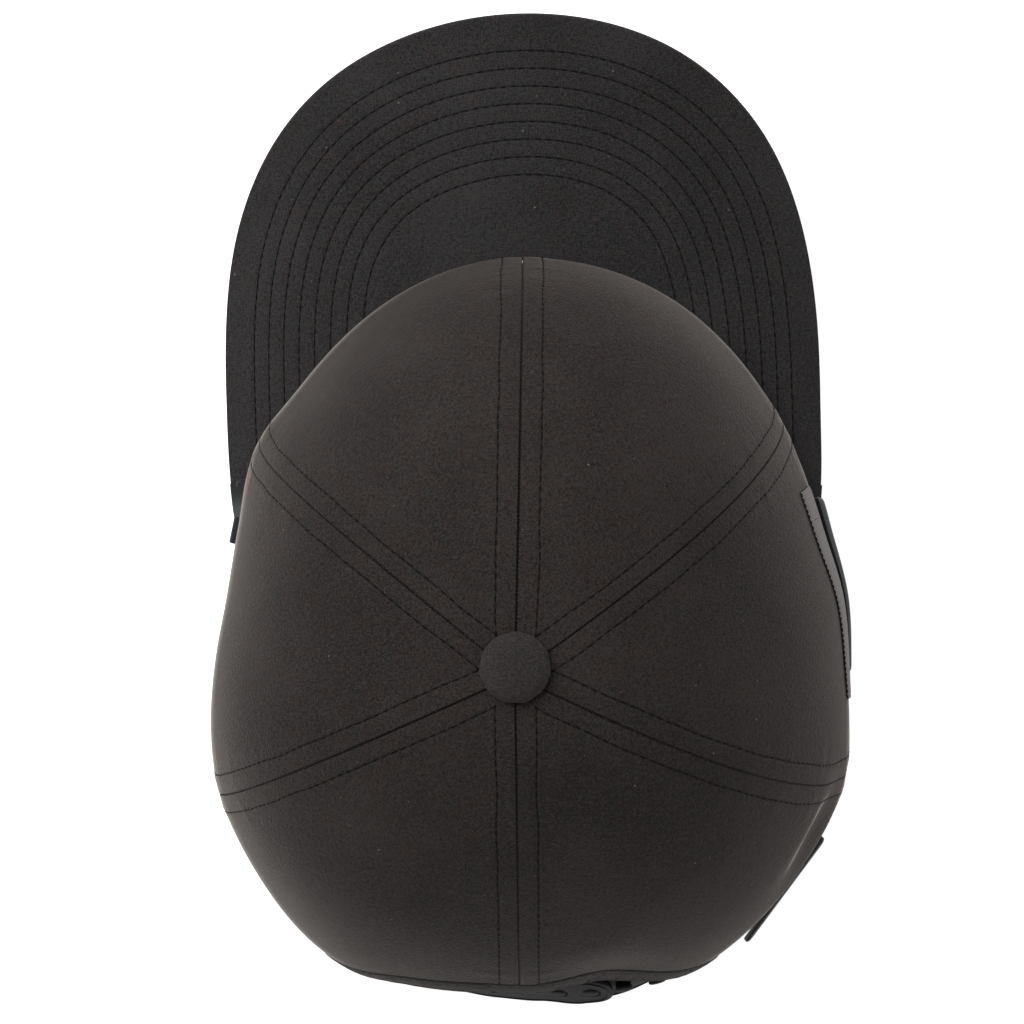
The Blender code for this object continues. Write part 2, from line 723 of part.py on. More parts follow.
def snap_strap(material):
    """Outer half with holes, inner half with pegs that stand through them."""
    outer_half = strap_half("snap_strap_outer", "outer", material)
    inner_half = strap_half("snap_strap_inner", "inner", material)
    for k in range(2, SNAP_PEGS + 2):
        place, direction = snap_place(FIRST_PEG_ARC + SNAP_PITCH * k)
        middle = place + direction * (STRAP_THICKNESS + CLEARANCE)
        tool = round_tool(SNAP_HOLE_DIAMETER / 2.0, STRAP_THICKNESS * 3.0, middle, direction)
        apply_boolean(outer_half, tool, "DIFFERENCE")
    tip = STRAP_THICKNESS * 1.5 + CLEARANCE + SNAP_PROUD
    for k in range(SNAP_PEGS):
        place, direction = snap_place(FIRST_PEG_ARC + SNAP_PITCH * k)
        stem = tip - SNAP_HEAD_HEIGHT / 2.0
        peg = round_tool(SNAP_PEG_DIAMETER / 2.0, stem, place + direction * stem / 2.0, direction)
        apply_boolean(inner_half, peg, "UNION")
        head_middle = place + direction * (tip - SNAP_HEAD_HEIGHT / 2.0)
        head = round_tool(SNAP_HEAD_DIAMETER / 2.0, SNAP_HEAD_HEIGHT, head_middle, direction)
        apply_boolean(inner_half, head, "UNION")
    return outer_half, inner_half


def side_patch(material):
    """Blank satin label lying on the wearer's right side of the crown."""
    levels = 4
    start = bearing_at_y(PATCH_FRONT_Y, -1.0)
    end = bearing_at_y(PATCH_FRONT_Y + PATCH_LENGTH, -1.0)
    outer = []
    inner = []
    for r in range(levels + 1):
        height = PATCH_LOW + (PATCH_HIGH - PATCH_LOW) * r / levels
        bearings = [start + (end - start) * c / PATCH_COLUMNS for c in range(PATCH_COLUMNS + 1)]
        outer.append([wall_point(b, height, CLEARANCE + PATCH_THICKNESS) for b in bearings])
        inner.append([wall_point(b, height, CLEARANCE) for b in bearings])
    return sheet_solid("side_patch", outer, inner, material)


def rear_tab(material):
    """Blank stiff tab at the back right, flat and low, its middle tucked under the crown."""
    seat = wall_point(TAB_BEARING, TAB_LOW, CLEARANCE)
    ahead = wall_point(TAB_BEARING + 2.0, TAB_LOW, 0.0) - wall_point(TAB_BEARING - 2.0, TAB_LOW, 0.0)
    ahead.z = 0.0
    ahead.normalize()
    outward = Vector((ahead.y, -ahead.x, 0.0))
    outer = []
    inner = []
    for height in (TAB_LOW, TAB_LOW + TAB_HEIGHT):
        outer_row = []
        inner_row = []
        for c in range(TAB_COLUMNS + 1):
            along = TAB_LENGTH * (c / TAB_COLUMNS - 0.5) - TAB_SLIDE
            foot = Vector((seat.x, seat.y, height)) + ahead * along
            outer_row.append(foot + outward * TAB_THICKNESS)
            inner_row.append(foot)
        outer.append(outer_row)
        inner.append(inner_row)
    return sheet_solid("rear_tab", outer, inner, material)


def centre_on_foot():
    """Move the whole cap so that the origin is the bottom centre of its bounding box."""
    pieces = [item for item in bpy.data.objects if item.type == "MESH"]
    corners = [vertex.co for item in pieces for vertex in item.data.vertices]
    low = Vector([min(corner[axis] for corner in corners) for axis in range(3)])
    high = Vector([max(corner[axis] for corner in corners) for axis in range(3)])
    shift = Vector((-(low.x + high.x) / 2.0, -(low.y + high.y) / 2.0, -low.z))
    for item in pieces:
        for vertex in item.data.vertices:
            vertex.co += shift


def build():
    clear_scene()
    cloth = make_material("crown_cloth")
    brim_cloth = make_material("brim_cloth")
    tape = make_material("welt_tape")
    for row in PANELS:
        crown_panel(row, cloth)
    top_button(cloth)
    brim(brim_cloth)
    welt("welt_right", RIGHT_WELT_END_Y, RIGHT_WELT_END_THICKNESS, -1.0, tape)
    welt("welt_left", LEFT_WELT_END_Y, LEFT_WELT_END_THICKNESS, 1.0, tape)
    sweatband(make_material("sweatband_cloth"))
    opening_binding(cloth)
    snap_strap(make_material("strap_plastic"))
    side_patch(make_material("patch_satin"))
    rear_tab(make_material("tab_board"))
    centre_on_foot()


build()
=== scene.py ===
# %% [markdown]
# # A snapback cap: cloth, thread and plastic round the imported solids
#
# The cap lies on a table and is seen from straight above. The solids give its shape. This
# script gives it cloth, seams, stitches and a moulded strap, piece by piece, over those solids.
# Every cell can be read by itself: first what the piece is, then how it is made here.

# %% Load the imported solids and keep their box
import math

import bmesh
import bpy
import numpy as np
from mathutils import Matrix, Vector


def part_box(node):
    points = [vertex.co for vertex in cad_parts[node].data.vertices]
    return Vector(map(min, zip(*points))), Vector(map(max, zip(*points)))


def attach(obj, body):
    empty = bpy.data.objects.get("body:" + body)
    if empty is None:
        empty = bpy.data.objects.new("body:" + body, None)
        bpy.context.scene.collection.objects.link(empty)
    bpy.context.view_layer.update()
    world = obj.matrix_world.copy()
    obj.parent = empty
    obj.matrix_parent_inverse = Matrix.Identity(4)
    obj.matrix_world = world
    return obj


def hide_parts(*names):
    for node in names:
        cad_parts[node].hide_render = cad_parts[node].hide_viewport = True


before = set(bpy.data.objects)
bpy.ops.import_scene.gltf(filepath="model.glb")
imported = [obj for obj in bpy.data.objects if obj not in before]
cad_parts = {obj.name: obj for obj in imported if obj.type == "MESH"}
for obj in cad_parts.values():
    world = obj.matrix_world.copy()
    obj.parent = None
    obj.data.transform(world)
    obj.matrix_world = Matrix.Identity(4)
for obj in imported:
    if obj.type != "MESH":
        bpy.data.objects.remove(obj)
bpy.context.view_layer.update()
MM = 0.001
QUARTER = math.pi / 2.0

# %% [markdown]
# ## The pattern frame
#
# A cap is cut from a flat pattern that is drawn round the button. So all shapes below are worked
# out in a frame with its origin under the brim's middle line, level with the button, and the last
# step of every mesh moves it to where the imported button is.

# %% Where the pattern's origin lies
BUTTON_X = 2.8 * MM
button_low, button_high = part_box("top_button")
HOME = np.array([(button_low[0] + button_high[0]) / 2.0 - BUTTON_X,
                 (button_low[1] + button_high[1]) / 2.0, 0.0])
print("pattern origin:", HOME.round(4))

# %% [markdown]
# ## The camera
#
# The photograph looks straight down from about 1.3 m, with the brim at the top of the picture.
# A long lens makes a small object fill the frame without bending its outline.

# %% Camera above the table, turned so that the brim points up
CAMERA_HEIGHT = 1.300
CAMERA_X = 3.6 * MM
CAMERA_Y = -40.0 * MM
VIEW_WIDTH = 289.8 * MM
SENSOR = 36.0

camera_data = bpy.data.cameras.new("camera")
camera_data.sensor_width = SENSOR
camera_data.lens = SENSOR * CAMERA_HEIGHT / VIEW_WIDTH
camera = bpy.data.objects.new("camera", camera_data)
camera.location = (HOME[0] + CAMERA_X, HOME[1] + CAMERA_Y, CAMERA_HEIGHT)
camera.rotation_euler = (0.0, 0.0, math.pi)
bpy.context.scene.collection.objects.link(camera)
bpy.context.scene.camera = camera
print("lens:", round(camera_data.lens, 1), "mm")

# %% [markdown]
# ## Colours and nodes
#
# Colours are picked as they look on a screen, and shaders want them in linear light, so one
# function turns a hex value. One more function adds a node, sets what it is given and links the
# rest, so that each material reads as a short list of steps.

# %% Helpers for materials


def linear(colour):
    """sRGB hex to linear RGBA."""
    parts = [int(colour[k:k + 2], 16) / 255.0 for k in (1, 3, 5)]
    return (*[c / 12.92 if c <= 0.04045 else ((c + 0.055) / 1.055) ** 2.4 for c in parts], 1.0)


def add(tree, kind, inputs=(), **settings):
    """Adds a node. inputs holds values, nodes or sockets, in order or by a socket's name or number."""
    node = tree.nodes.new(kind)
    for key, value in settings.items():
        setattr(node, key, value)
    for key, value in (inputs if isinstance(inputs, dict) else dict(enumerate(inputs))).items():
        if isinstance(value, bpy.types.Node):
            value = value.outputs[0]
        if isinstance(value, bpy.types.NodeSocket):
            tree.links.new(value, node.inputs[key])
        else:
            node.inputs[key].default_value = value
    return node


def new_material(name):
    """An empty material: itself, its tree and its shader."""
    material = bpy.data.materials.new(name)
    material.use_nodes = True
    return material, material.node_tree, material.node_tree.nodes["Principled BSDF"]


def dress(tree, shader, colour, roughness, level, sheen=0.0, relief=None, depth=0.0, strength=1.0):
    """Gives a shader its colour and relief, and sets what is the same all over."""
    tree.links.new(colour, shader.inputs["Base Color"])
    if relief is not None:
        bump = add(tree, "ShaderNodeBump", {"Height": relief, "Distance": depth, "Strength": strength})
        tree.links.new(bump.outputs[0], shader.inputs["Normal"])
    for key, value in (("Roughness", roughness), ("Specular IOR Level", level), ("Sheen Weight", sheen)):
        shader.inputs[key].default_value = value


# %% [markdown]
# ## Cloth
#
# The cap is sewn from dyed cotton. Its threads are about 0.2 mm thick, less than a pixel here, so
# what the eye gets is not the weave itself but how uneven it is: short streaks where a thread is a
# little thicker, running both ways. They are drawn 0.4 mm wide. Brushed fibre ends catch light at
# a flat angle, which is what sheen is for: it makes the crown's sides look paler than its top. On
# the crown a painted sheen adds to it: the colour itself turns pale where the cloth turns away from
# the eye. Dye takes unevenly, so slow noise shifts the tone, and a few pale specks of lint lie about.
#
# Where cloth is folded into a seam or pulled down by stitches, less light gets in. Light alone
# can't show that at this size, so a piece can carry a second map with the distance from its seam,
# and the cloth darkens by it.

# %% What makes cotton uneven
STREAK_WIDTH = 0.42 * MM
STREAK_LENGTH = 1.5 * MM
BLOTCH = 3.4 * MM
BLOTCH_SHARE = 0.13
LINT_SPACING = 4.2 * MM
LINT_SHARE = 0.45
# Facing above which the painted sheen starts to pale the colour
PAINTED_SHEEN_FROM = 0.88


def streaks(tree, flat, width, length, shift):
    """Noise drawn out along the second direction of a map: uneven threads side by side."""
    drawn = add(tree, "ShaderNodeMapping", {
        "Vector": flat, "Location": (shift, shift, 0.0), "Scale": (1.0 / width, 1.0 / length, 1.0)})
    return add(tree, "ShaderNodeTexNoise", {"Vector": drawn, "Scale": 1.0, "Detail": 1.5},
               noise_dimensions="2D")


def lint(tree, place, cloth):
    """Pale specks, a few of them reddish, on about every third cell of a Voronoi pattern."""
    cells = add(tree, "ShaderNodeTexVoronoi", {"Vector": place, "Scale": 1.0 / LINT_SPACING})
    chance = add(tree, "ShaderNodeSeparateColor", [cells.outputs["Color"]])
    speck = add(tree, "ShaderNodeMapRange", {
        "Value": cells.outputs["Distance"], "From Min": 0.080, "From Max": 0.035, "To Max": LINT_SHARE},
        interpolation_type="SMOOTHSTEP")
    some = add(tree, "ShaderNodeMath", (chance.outputs[0], 0.62), operation="GREATER_THAN")
    uneven_share = add(tree, "ShaderNodeMath", (chance.outputs[1], some), operation="MULTIPLY")
    share = add(tree, "ShaderNodeMath", (speck, uneven_share), operation="MULTIPLY")
    red = add(tree, "ShaderNodeMath", (chance.outputs[2], 0.85), operation="GREATER_THAN")
    shade = add(tree, "ShaderNodeMix", {"Factor": red, 6: linear("#8d8580"), 7: linear("#7d4a44")},
                data_type="RGBA")
    return add(tree, "ShaderNodeMix", {"Factor": share, 6: cloth, 7: shade.outputs[2]},
               data_type="RGBA").outputs[2]


def blotches(tree, place, cloth):
    """Dye that takes a little redder here and greyer there."""
    noise = add(tree, "ShaderNodeTexNoise", {"Vector": place, "Scale": 1.0 / BLOTCH, "Detail": 2.0})
    share = add(tree, "ShaderNodeMapRange", {"Value": noise, "From Min": 0.36, "From Max": 0.64})
    hue = add(tree, "ShaderNodeMix", {"Factor": share, 6: linear("#33221f"), 7: linear("#232a2c")},
              data_type="RGBA")
    return add(tree, "ShaderNodeMix", {"Factor": BLOTCH_SHARE, 6: cloth, 7: hue.outputs[2]},
               data_type="RGBA").outputs[2]


def painted_rim_sheen(tree, cloth, strength):
    """Painted sheen: the colour turns pale where the cloth turns away from the eye, as lit fibre ends seen
    edge on.
    """
    facing = add(tree, "ShaderNodeLayerWeight", {"Blend": 0.5}).outputs["Facing"]
    share = add(tree, "ShaderNodeMapRange", {
        "Value": facing, "From Min": PAINTED_SHEEN_FROM, "From Max": 1.0, "To Max": strength},
        interpolation_type="SMOOTHSTEP")
    return add(tree, "ShaderNodeMix", {"Factor": share, 6: cloth, 7: linear("#8c857e")},
               data_type="RGBA").outputs[2]


# %% Woven cloth in a chosen colour
FUZZ = 0.46 * MM
DYE_PATCH = 32.0 * MM
WEAVE_RELIEF = 0.14 * MM
RELIEF_FUZZ = 0.8
DYE_WEIGHT, FUZZ_WEIGHT, WEAVE_WEIGHT = 0.45, 1.1, 0.45
CLOTH_ROUGHNESS = 0.95
CLOTH_GLOSS = 0.15
TONE_RANGE = (1.02, 1.43)
# Colour of the painted shade in seam folds and along stitch rows
SEAM_SHADE_COLOUR = "#060505"
SHEEN_TINT = "#e2d8d2"


def woven(name, dark, pale, sheen=0.2, sheen_roughness=0.35, painted_shade=None, painted_sheen=0.0):
    """Woven cotton that reads the piece's own map in metres. painted_shade gives the painted shade at
    its seams, painted_sheen how strongly a painted pale rim shows where the cloth turns away.
    """
    material, tree, shader = new_material(name)
    flat = add(tree, "ShaderNodeUVMap", uv_map="cloth")
    place = add(tree, "ShaderNodeTexCoord").outputs["Object"]
    warp = streaks(tree, flat, STREAK_WIDTH, STREAK_LENGTH, 3.1)
    weft = streaks(tree, flat, STREAK_LENGTH, STREAK_WIDTH, 7.7)
    weave = add(tree, "ShaderNodeMath", (warp, weft), operation="ADD")
    fuzz = add(tree, "ShaderNodeTexNoise", {"Vector": place, "Scale": 1.0 / FUZZ, "Detail": 3.0})
    dye = add(tree, "ShaderNodeTexNoise", {"Vector": place, "Scale": 1.0 / DYE_PATCH, "Detail": 2.0})
    tone = 0.0
    for part, weight in ((dye, DYE_WEIGHT), (fuzz, FUZZ_WEIGHT), (weave, WEAVE_WEIGHT)):
        tone = add(tree, "ShaderNodeMath", (part, weight, tone), operation="MULTIPLY_ADD")
    ramp = add(tree, "ShaderNodeMapRange", {
        "Value": tone, "From Min": TONE_RANGE[0], "From Max": TONE_RANGE[1]})
    cloth = add(tree, "ShaderNodeMix", {"Factor": ramp, 6: linear(dark), 7: linear(pale)},
                data_type="RGBA").outputs[2]
    cloth = lint(tree, place, blotches(tree, place, cloth))
    # Painted sheen: the colour itself turns pale where the cloth turns away from the eye
    if painted_sheen > 0.0:
        cloth = painted_rim_sheen(tree, cloth, painted_sheen)
    # Painted shade: the colour darkens in seam folds and along stitch rows
    if painted_shade:
        cloth = add(tree, "ShaderNodeMix", {"Factor": painted_shade(tree), 6: cloth, 7: linear(SEAM_SHADE_COLOUR)},
                    data_type="RGBA").outputs[2]
    relief = add(tree, "ShaderNodeMath", (fuzz, RELIEF_FUZZ, weave), operation="MULTIPLY_ADD")
    dress(tree, shader, cloth, CLOTH_ROUGHNESS, CLOTH_GLOSS, sheen, relief, WEAVE_RELIEF)
    shader.inputs["Sheen Roughness"].default_value = sheen_roughness
    shader.inputs["Sheen Tint"].default_value = linear(SHEEN_TINT)
    return material


# %% Where painted shade darkens the cloth at seams and stitch rows
STITCH_OFFSET = 5.4 * MM
SEAM_STITCH = 0.86 * MM
SEAM_PINCH = 0.09 * MM
FOLD_CORE, FOLD_EDGE = 0.18 * MM, 0.40 * MM
LINE_CORE, LINE_EDGE = 0.10 * MM, 0.40 * MM
CROWN_LINE_SHADE = 0.50
BRIM_LINE_SHADE = 0.60
FIRST_ROW = 10.45 * MM
ROW_PITCH = 4.9 * MM
ROW_COUNT = 8


def seam_place(tree):
    """Distance from the nearest seam or edge, and length along it."""
    split = add(tree, "ShaderNodeSeparateXYZ", [add(tree, "ShaderNodeUVMap", uv_map="seam")])
    return split.outputs[0], split.outputs[1]


def crown_painted_seam_shade(tree):
    """Painted shade: dark in the seam's fold, pinched at each seam stitch, and a faint line at each stitch
    row.
    """
    distance, along = seam_place(tree)
    turn = add(tree, "ShaderNodeMath", (along, math.tau / SEAM_STITCH), operation="MULTIPLY")
    wave = add(tree, "ShaderNodeMath", [turn], operation="SINE")
    pinch = add(tree, "ShaderNodeMath", (wave, SEAM_PINCH, distance), operation="MULTIPLY_ADD")
    fold = add(tree, "ShaderNodeMapRange", {"Value": pinch, "From Min": FOLD_EDGE, "From Max": FOLD_CORE},
               interpolation_type="SMOOTHSTEP")
    past = add(tree, "ShaderNodeMath", (distance, STITCH_OFFSET), operation="SUBTRACT")
    beside = add(tree, "ShaderNodeMath", [past], operation="ABSOLUTE")
    line = add(tree, "ShaderNodeMapRange", {
        "Value": beside, "From Min": LINE_EDGE, "From Max": LINE_CORE, "To Max": CROWN_LINE_SHADE},
        interpolation_type="SMOOTHSTEP")
    return add(tree, "ShaderNodeMath", (fold, line), operation="MAXIMUM")


def brim_painted_row_shade(tree):
    """Painted shade: a faint dark line under each row of stitches."""
    past = add(tree, "ShaderNodeMath", (seam_place(tree)[0], FIRST_ROW), operation="SUBTRACT")
    rows = add(tree, "ShaderNodeMath", (past, ROW_PITCH), operation="DIVIDE")
    whole = add(tree, "ShaderNodeMath", [rows], operation="ROUND")
    first = add(tree, "ShaderNodeMath", (whole, 0.0), operation="MAXIMUM")
    nearest = add(tree, "ShaderNodeMath", (first, ROW_COUNT - 1.0), operation="MINIMUM")
    away = add(tree, "ShaderNodeMath", (rows, nearest), operation="SUBTRACT")
    beside = add(tree, "ShaderNodeMath", [away], operation="ABSOLUTE")
    return add(tree, "ShaderNodeMapRange", {
        "Value": beside, "From Min": LINE_EDGE / ROW_PITCH, "From Max": LINE_CORE / ROW_PITCH,
        "To Max": BRIM_LINE_SHADE}, interpolation_type="SMOOTHSTEP")


# The crown has a painted pale rim and painted seam shade; the brim has painted shade under its rows
CROWN_CLOTH = woven("cotton_cloth_crown", "#171514", "#322d2b", sheen=0.20, sheen_roughness=0.30,
                    painted_shade=crown_painted_seam_shade, painted_sheen=0.90)
BRIM_CLOTH = woven("cotton_cloth_brim", "#181717", "#323031", sheen=0.18, painted_shade=brim_painted_row_shade)
PLAIN_CLOTH = woven("cotton_cloth_inside", "#1e1b1a", "#332f2d")
HEM_CLOTH = woven("cotton_cloth_binding", "#181616", "#2a2726", sheen=0.08)
BUTTON_CLOTH = woven("cotton_cloth_button", "#232120", "#383433", sheen=0.06)
BAND_CLOTH = woven("cotton_sweatband", "#1f1d1c", "#2d2a29", sheen=0.15)
print("cloths made:", len(bpy.data.materials))

# %% [markdown]
# ## Thread, tape, satin, card and moulded plastic
#
# Polyester thread is smoother and blacker than the cloth, so it reads as a dark dashed line. The
# seam tape is a dense, smooth ribbon, and where it turns over the brim's left corner its floats
# catch the light, a highlight painted into its colour there. Satin floats its threads on one side,
# so it shines: its pale grey is partly its own tone and partly painted sheen, and its ribs are drawn
# 0.7 mm apart to show, with painted shade in their valleys. The tab is pressed cloth, greyer and
# flatter than the rest. The strap is moulded polyethylene with the fine matt grain of its mould.
# Loose fibres are undyed and pale.

# %% The other finishes


def plain_finish(name, dark, pale, grain, depth, roughness, sheen=0.0, level=0.5):
    """A finish with fine grain: noise in colour and relief at one real size."""
    material, tree, shader = new_material(name)
    place = add(tree, "ShaderNodeTexCoord").outputs["Object"]
    noise = add(tree, "ShaderNodeTexNoise", {"Vector": place, "Scale": 1.0 / grain, "Detail": 4.0})
    ramp = add(tree, "ShaderNodeMapRange", {"Value": noise, "From Min": 0.3, "From Max": 0.7})
    mix = add(tree, "ShaderNodeMix", {"Factor": ramp, 6: linear(dark), 7: linear(pale)}, data_type="RGBA")
    dress(tree, shader, mix.outputs[2], roughness, level, sheen, noise, depth, 0.7)
    return material


def satin(name, dark, pale, pitch):
    """Satin ribbon with fine ribs across it; its pale tone is partly painted sheen, with painted shade in the
    rib valleys.
    """
    material, tree, shader = new_material(name)
    split = add(tree, "ShaderNodeSeparateXYZ", [add(tree, "ShaderNodeUVMap", uv_map="cloth")])
    turn = add(tree, "ShaderNodeMath", (split, math.tau / pitch), operation="MULTIPLY")
    ribs = add(tree, "ShaderNodeMath", [turn], operation="SINE")
    # Painted shade in the rib valleys, paler on their crests
    ramp = add(tree, "ShaderNodeMapRange", {"Value": ribs, "From Min": -1.0, "From Max": 1.0})
    mix = add(tree, "ShaderNodeMix", {"Factor": ramp, 6: linear(dark), 7: linear(pale)}, data_type="RGBA")
    dress(tree, shader, mix.outputs[2], 0.7, 0.08, relief=ribs, depth=0.03 * MM, strength=0.8)
    return material


def tape_with_painted_highlight(name, dark, pale, full_highlight_y, no_highlight_y):
    """Dense ribbon with a painted highlight: its colour turns paler where it turns down, told by its own map.
    """
    material, tree, shader = new_material(name)
    split = add(tree, "ShaderNodeSeparateXYZ", [add(tree, "ShaderNodeUVMap", uv_map="cloth")])
    place = add(tree, "ShaderNodeTexCoord").outputs["Object"]
    grain = add(tree, "ShaderNodeTexNoise", {"Vector": place, "Scale": 1.0 / (1.1 * MM), "Detail": 3.0})
    turned = add(tree, "ShaderNodeMapRange", {
        "Value": split.outputs[1], "From Min": no_highlight_y, "From Max": full_highlight_y},
        interpolation_type="SMOOTHSTEP")
    lifted = add(tree, "ShaderNodeMath", (grain, 0.4), operation="ADD")
    # Painted highlight where the tape turns down over the brim's edge
    painted_highlight = add(tree, "ShaderNodeMath", (turned, lifted), operation="MULTIPLY")
    mix = add(tree, "ShaderNodeMix", {"Factor": painted_highlight, 6: linear(dark), 7: linear(pale)}, data_type="RGBA")
    dress(tree, shader, mix.outputs[2], 0.45, 0.25)
    return material


THREAD = plain_finish("polyester_thread", "#050505", "#0b0b0b", 0.3 * MM, 0.05 * MM, 0.85, level=0.12)
TAPE = plain_finish("seam_tape", "#131617", "#1c2021", 0.5 * MM, 0.03 * MM, 0.55, sheen=0.05, level=0.15)
# The corner tape's colour carries a painted highlight where it turns down
CORNER_TAPE_PAINTED_HIGHLIGHT = tape_with_painted_highlight("seam_tape_on_corner", "#1a1d1e", "#404445", -40.0 * MM, -46.0 * MM)
# Its pale grey is partly painted sheen, and its rib stripes are painted shade
SATIN_PAINTED_SHEEN = satin("satin_ribbon", "#5b5756", "#6e6968", 0.7 * MM)
CARD = plain_finish("pressed_cloth_tab", "#262829", "#303334", 0.6 * MM, 0.03 * MM, 0.6, sheen=0.15)
PLASTIC = plain_finish("moulded_polyethylene", "#111112", "#171719", 0.35 * MM, 0.02 * MM, 0.6, level=0.07)
FIBRE = plain_finish("loose_fibre", "#5c5753", "#77716d", 0.5 * MM, 0.01 * MM, 0.9, level=0.1)
print("finishes made:", len(bpy.data.materials))

# %% [markdown]
# ## Meshes from grids and rings of points
#
# Every cloth piece is a thin wall: an outer skin and an inner skin that match point by point, with
# their four edges closed. The same function also stores the cloth's flat map, in metres, as a UV
# layer, so a weave keeps its size however the piece bends. Round pieces are rings of points joined
# one to the next.

# %% From points to a finished piece
MERGE = 0.001 * MM
WALL_SHARP = 50.0


def close_mesh(mesh, sharp=None, merge=MERGE):
    """Merges doubled points, if merge is given, and turns faces outward.

    Shades smooth all edges less than sharp degrees.
    """
    work = bmesh.new()
    work.from_mesh(mesh)
    if merge:
        bmesh.ops.remove_doubles(work, verts=work.verts, dist=merge)
    bmesh.ops.recalc_face_normals(work, faces=work.faces)
    work.to_mesh(mesh)
    work.free()
    if sharp is not None:
        mesh.shade_smooth()
        mesh.set_sharp_from_angle(angle=math.radians(sharp))


def finish_piece(name, mesh, material, slot, *nodes):
    """Makes a mesh a piece on the cap's one body, which stands for the named nodes."""
    mesh.materials.clear()
    mesh.materials.append(material)
    piece = bpy.data.objects.new(name, mesh)
    bpy.context.scene.collection.objects.link(piece)
    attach(piece, "root")
    if nodes:
        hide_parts(*nodes)
    print(name, len(mesh.polygons), "faces")


# %% A closed wall between two skins, and a tube of rings


def grid_faces(rows, columns, first):
    """Quads of one skin whose points start at a number."""
    r, c = np.meshgrid(np.arange(rows - 1), np.arange(columns - 1), indexing="ij")
    corner = (first + r * columns + c).ravel()
    return np.stack([corner, corner + 1, corner + columns + 1, corner + columns], axis=1)


def rim_faces(rows, columns):
    """Quads that close the four edges between two skins."""
    skin = rows * columns
    top = np.arange(columns)
    side = np.arange(rows) * columns
    faces = []
    for line in (top, top + (rows - 1) * columns, side, side + columns - 1):
        faces.append(np.stack([line[:-1], line[1:], line[1:] + skin, line[:-1] + skin], axis=1))
    return np.concatenate(faces)


def wall(name, outer, inner, flat, material, slot, *nodes, seam=None):
    """Closed piece between two grids, rows x columns x 3, with flat maps, rows x columns x 2."""
    rows, columns = outer.shape[:2]
    points = np.concatenate([outer.reshape(-1, 3), inner.reshape(-1, 3)]) + HOME
    faces = np.concatenate([grid_faces(rows, columns, 0), grid_faces(rows, columns, rows * columns),
                            rim_faces(rows, columns)])
    mesh = bpy.data.meshes.new(name)
    mesh.from_pydata(points.tolist(), [], faces.tolist())
    for title, places in (("cloth", flat), ("seam", seam)):
        if places is not None:
            both = np.concatenate([places.reshape(-1, 2)] * 2)
            mesh.uv_layers.new(name=title).data.foreach_set("uv", both[faces.ravel()].ravel())
    close_mesh(mesh, WALL_SHARP)
    finish_piece(name, mesh, material, slot, *nodes)


def ring_faces(count, sides, first=0):
    """Faces from each ring of points to the next, and over both ends, points starting at a number."""
    faces = []
    for k in range(count - 1):
        for j in range(sides):
            here, after = first + k * sides, (j + 1) % sides
            faces.append((here + j, here + after, here + sides + after, here + sides + j))
    last = first + (count - 1) * sides
    return faces + [tuple(range(first, first + sides))[::-1], tuple(range(last, last + sides))]


# %% [markdown]
# ## The crown's surface
#
# A soft crown has no simple formula, but a few named sizes come close: how far it reaches to the
# front, back, left and right, how full its outline is between them, and how round its profile is.
# A point is then found from a bearing round the button and a turn from the button down to the
# foot. All of it works on whole arrays, so a panel of ten thousand points takes no time.

# %% The crown's sizes
CROWN_HEIGHT = 118.0 * MM
FRONT_REACH = 112.2 * MM
REAR_REACH = 99.0 * MM
LEFT_REACH = 83.6 * MM
RIGHT_REACH = 93.2 * MM
APEX_HOLE = 3.0 * MM
SEAM_MEET = 2.2 * MM
SEAM_MEET_LIMIT = 0.5
CLOTH = 1.6 * MM
GAP = 0.3 * MM
PROFILE = {"front": 2.35, "rear": 2.0, "left": 2.6, "right": 2.0}

# Bearing from the wearer's left, anticlockwise seen from above, and the outline's fullness there
OUTLINE = np.array([
    (0.0, 1.000), (22.5, 1.058), (42.0, 1.063), (54.0, 1.063), (62.0, 1.050), (72.0, 1.016),
    (90.0, 1.003), (112.0, 1.031), (122.0, 1.053), (136.0, 1.061), (150.0, 1.067), (160.0, 1.056),
    (176.0, 1.009), (190.0, 0.999), (203.0, 0.981), (225.0, 0.998), (247.5, 1.012), (270.0, 1.000),
    (292.5, 0.983), (308.0, 0.984), (322.0, 1.010), (335.0, 0.980), (348.0, 0.975),
]).T

# Soft dents: over the back opening, the crease at the back right and the tuck under it
DENTS = [
    {"bearing": 106.0, "bearing_span": 14.0, "height": 0.39, "height_span": 0.24, "depth": 3.4 * MM},
    {"bearing": 149.0, "bearing_span": 15.0, "height": 0.27, "height_span": 0.15, "depth": 2.8 * MM},
    {"bearing": 139.0, "bearing_span": 18.0, "height": 0.055, "height_span": 0.13, "depth": 2.9 * MM},
]

SEAMS = {
    "front": {"top": -91.2, "foot": -91.0, "sway": 1.0},
    "left_front": {"top": -39.2, "foot": -44.2, "sway": 3.0},
    "left_rear": {"top": 24.5, "foot": 23.4, "sway": 1.0},
    "rear": {"top": 90.8, "foot": 90.8, "sway": 1.0},
    "right_rear": {"top": 154.3, "foot": 162.4, "sway": 1.0},
    "right_front": {"top": 215.7, "foot": 223.0, "sway": 1.0},
    "front_again": {"top": 268.8, "foot": 269.0, "sway": 1.0},
}

# %% The functions that give its points


def smooth_step(share):
    share = np.clip(share, 0.0, 1.0)
    return share * share * (3.0 - 2.0 * share)


def unit(vectors):
    """Vectors made one long."""
    return vectors / np.linalg.norm(vectors, axis=-1, keepdims=True)


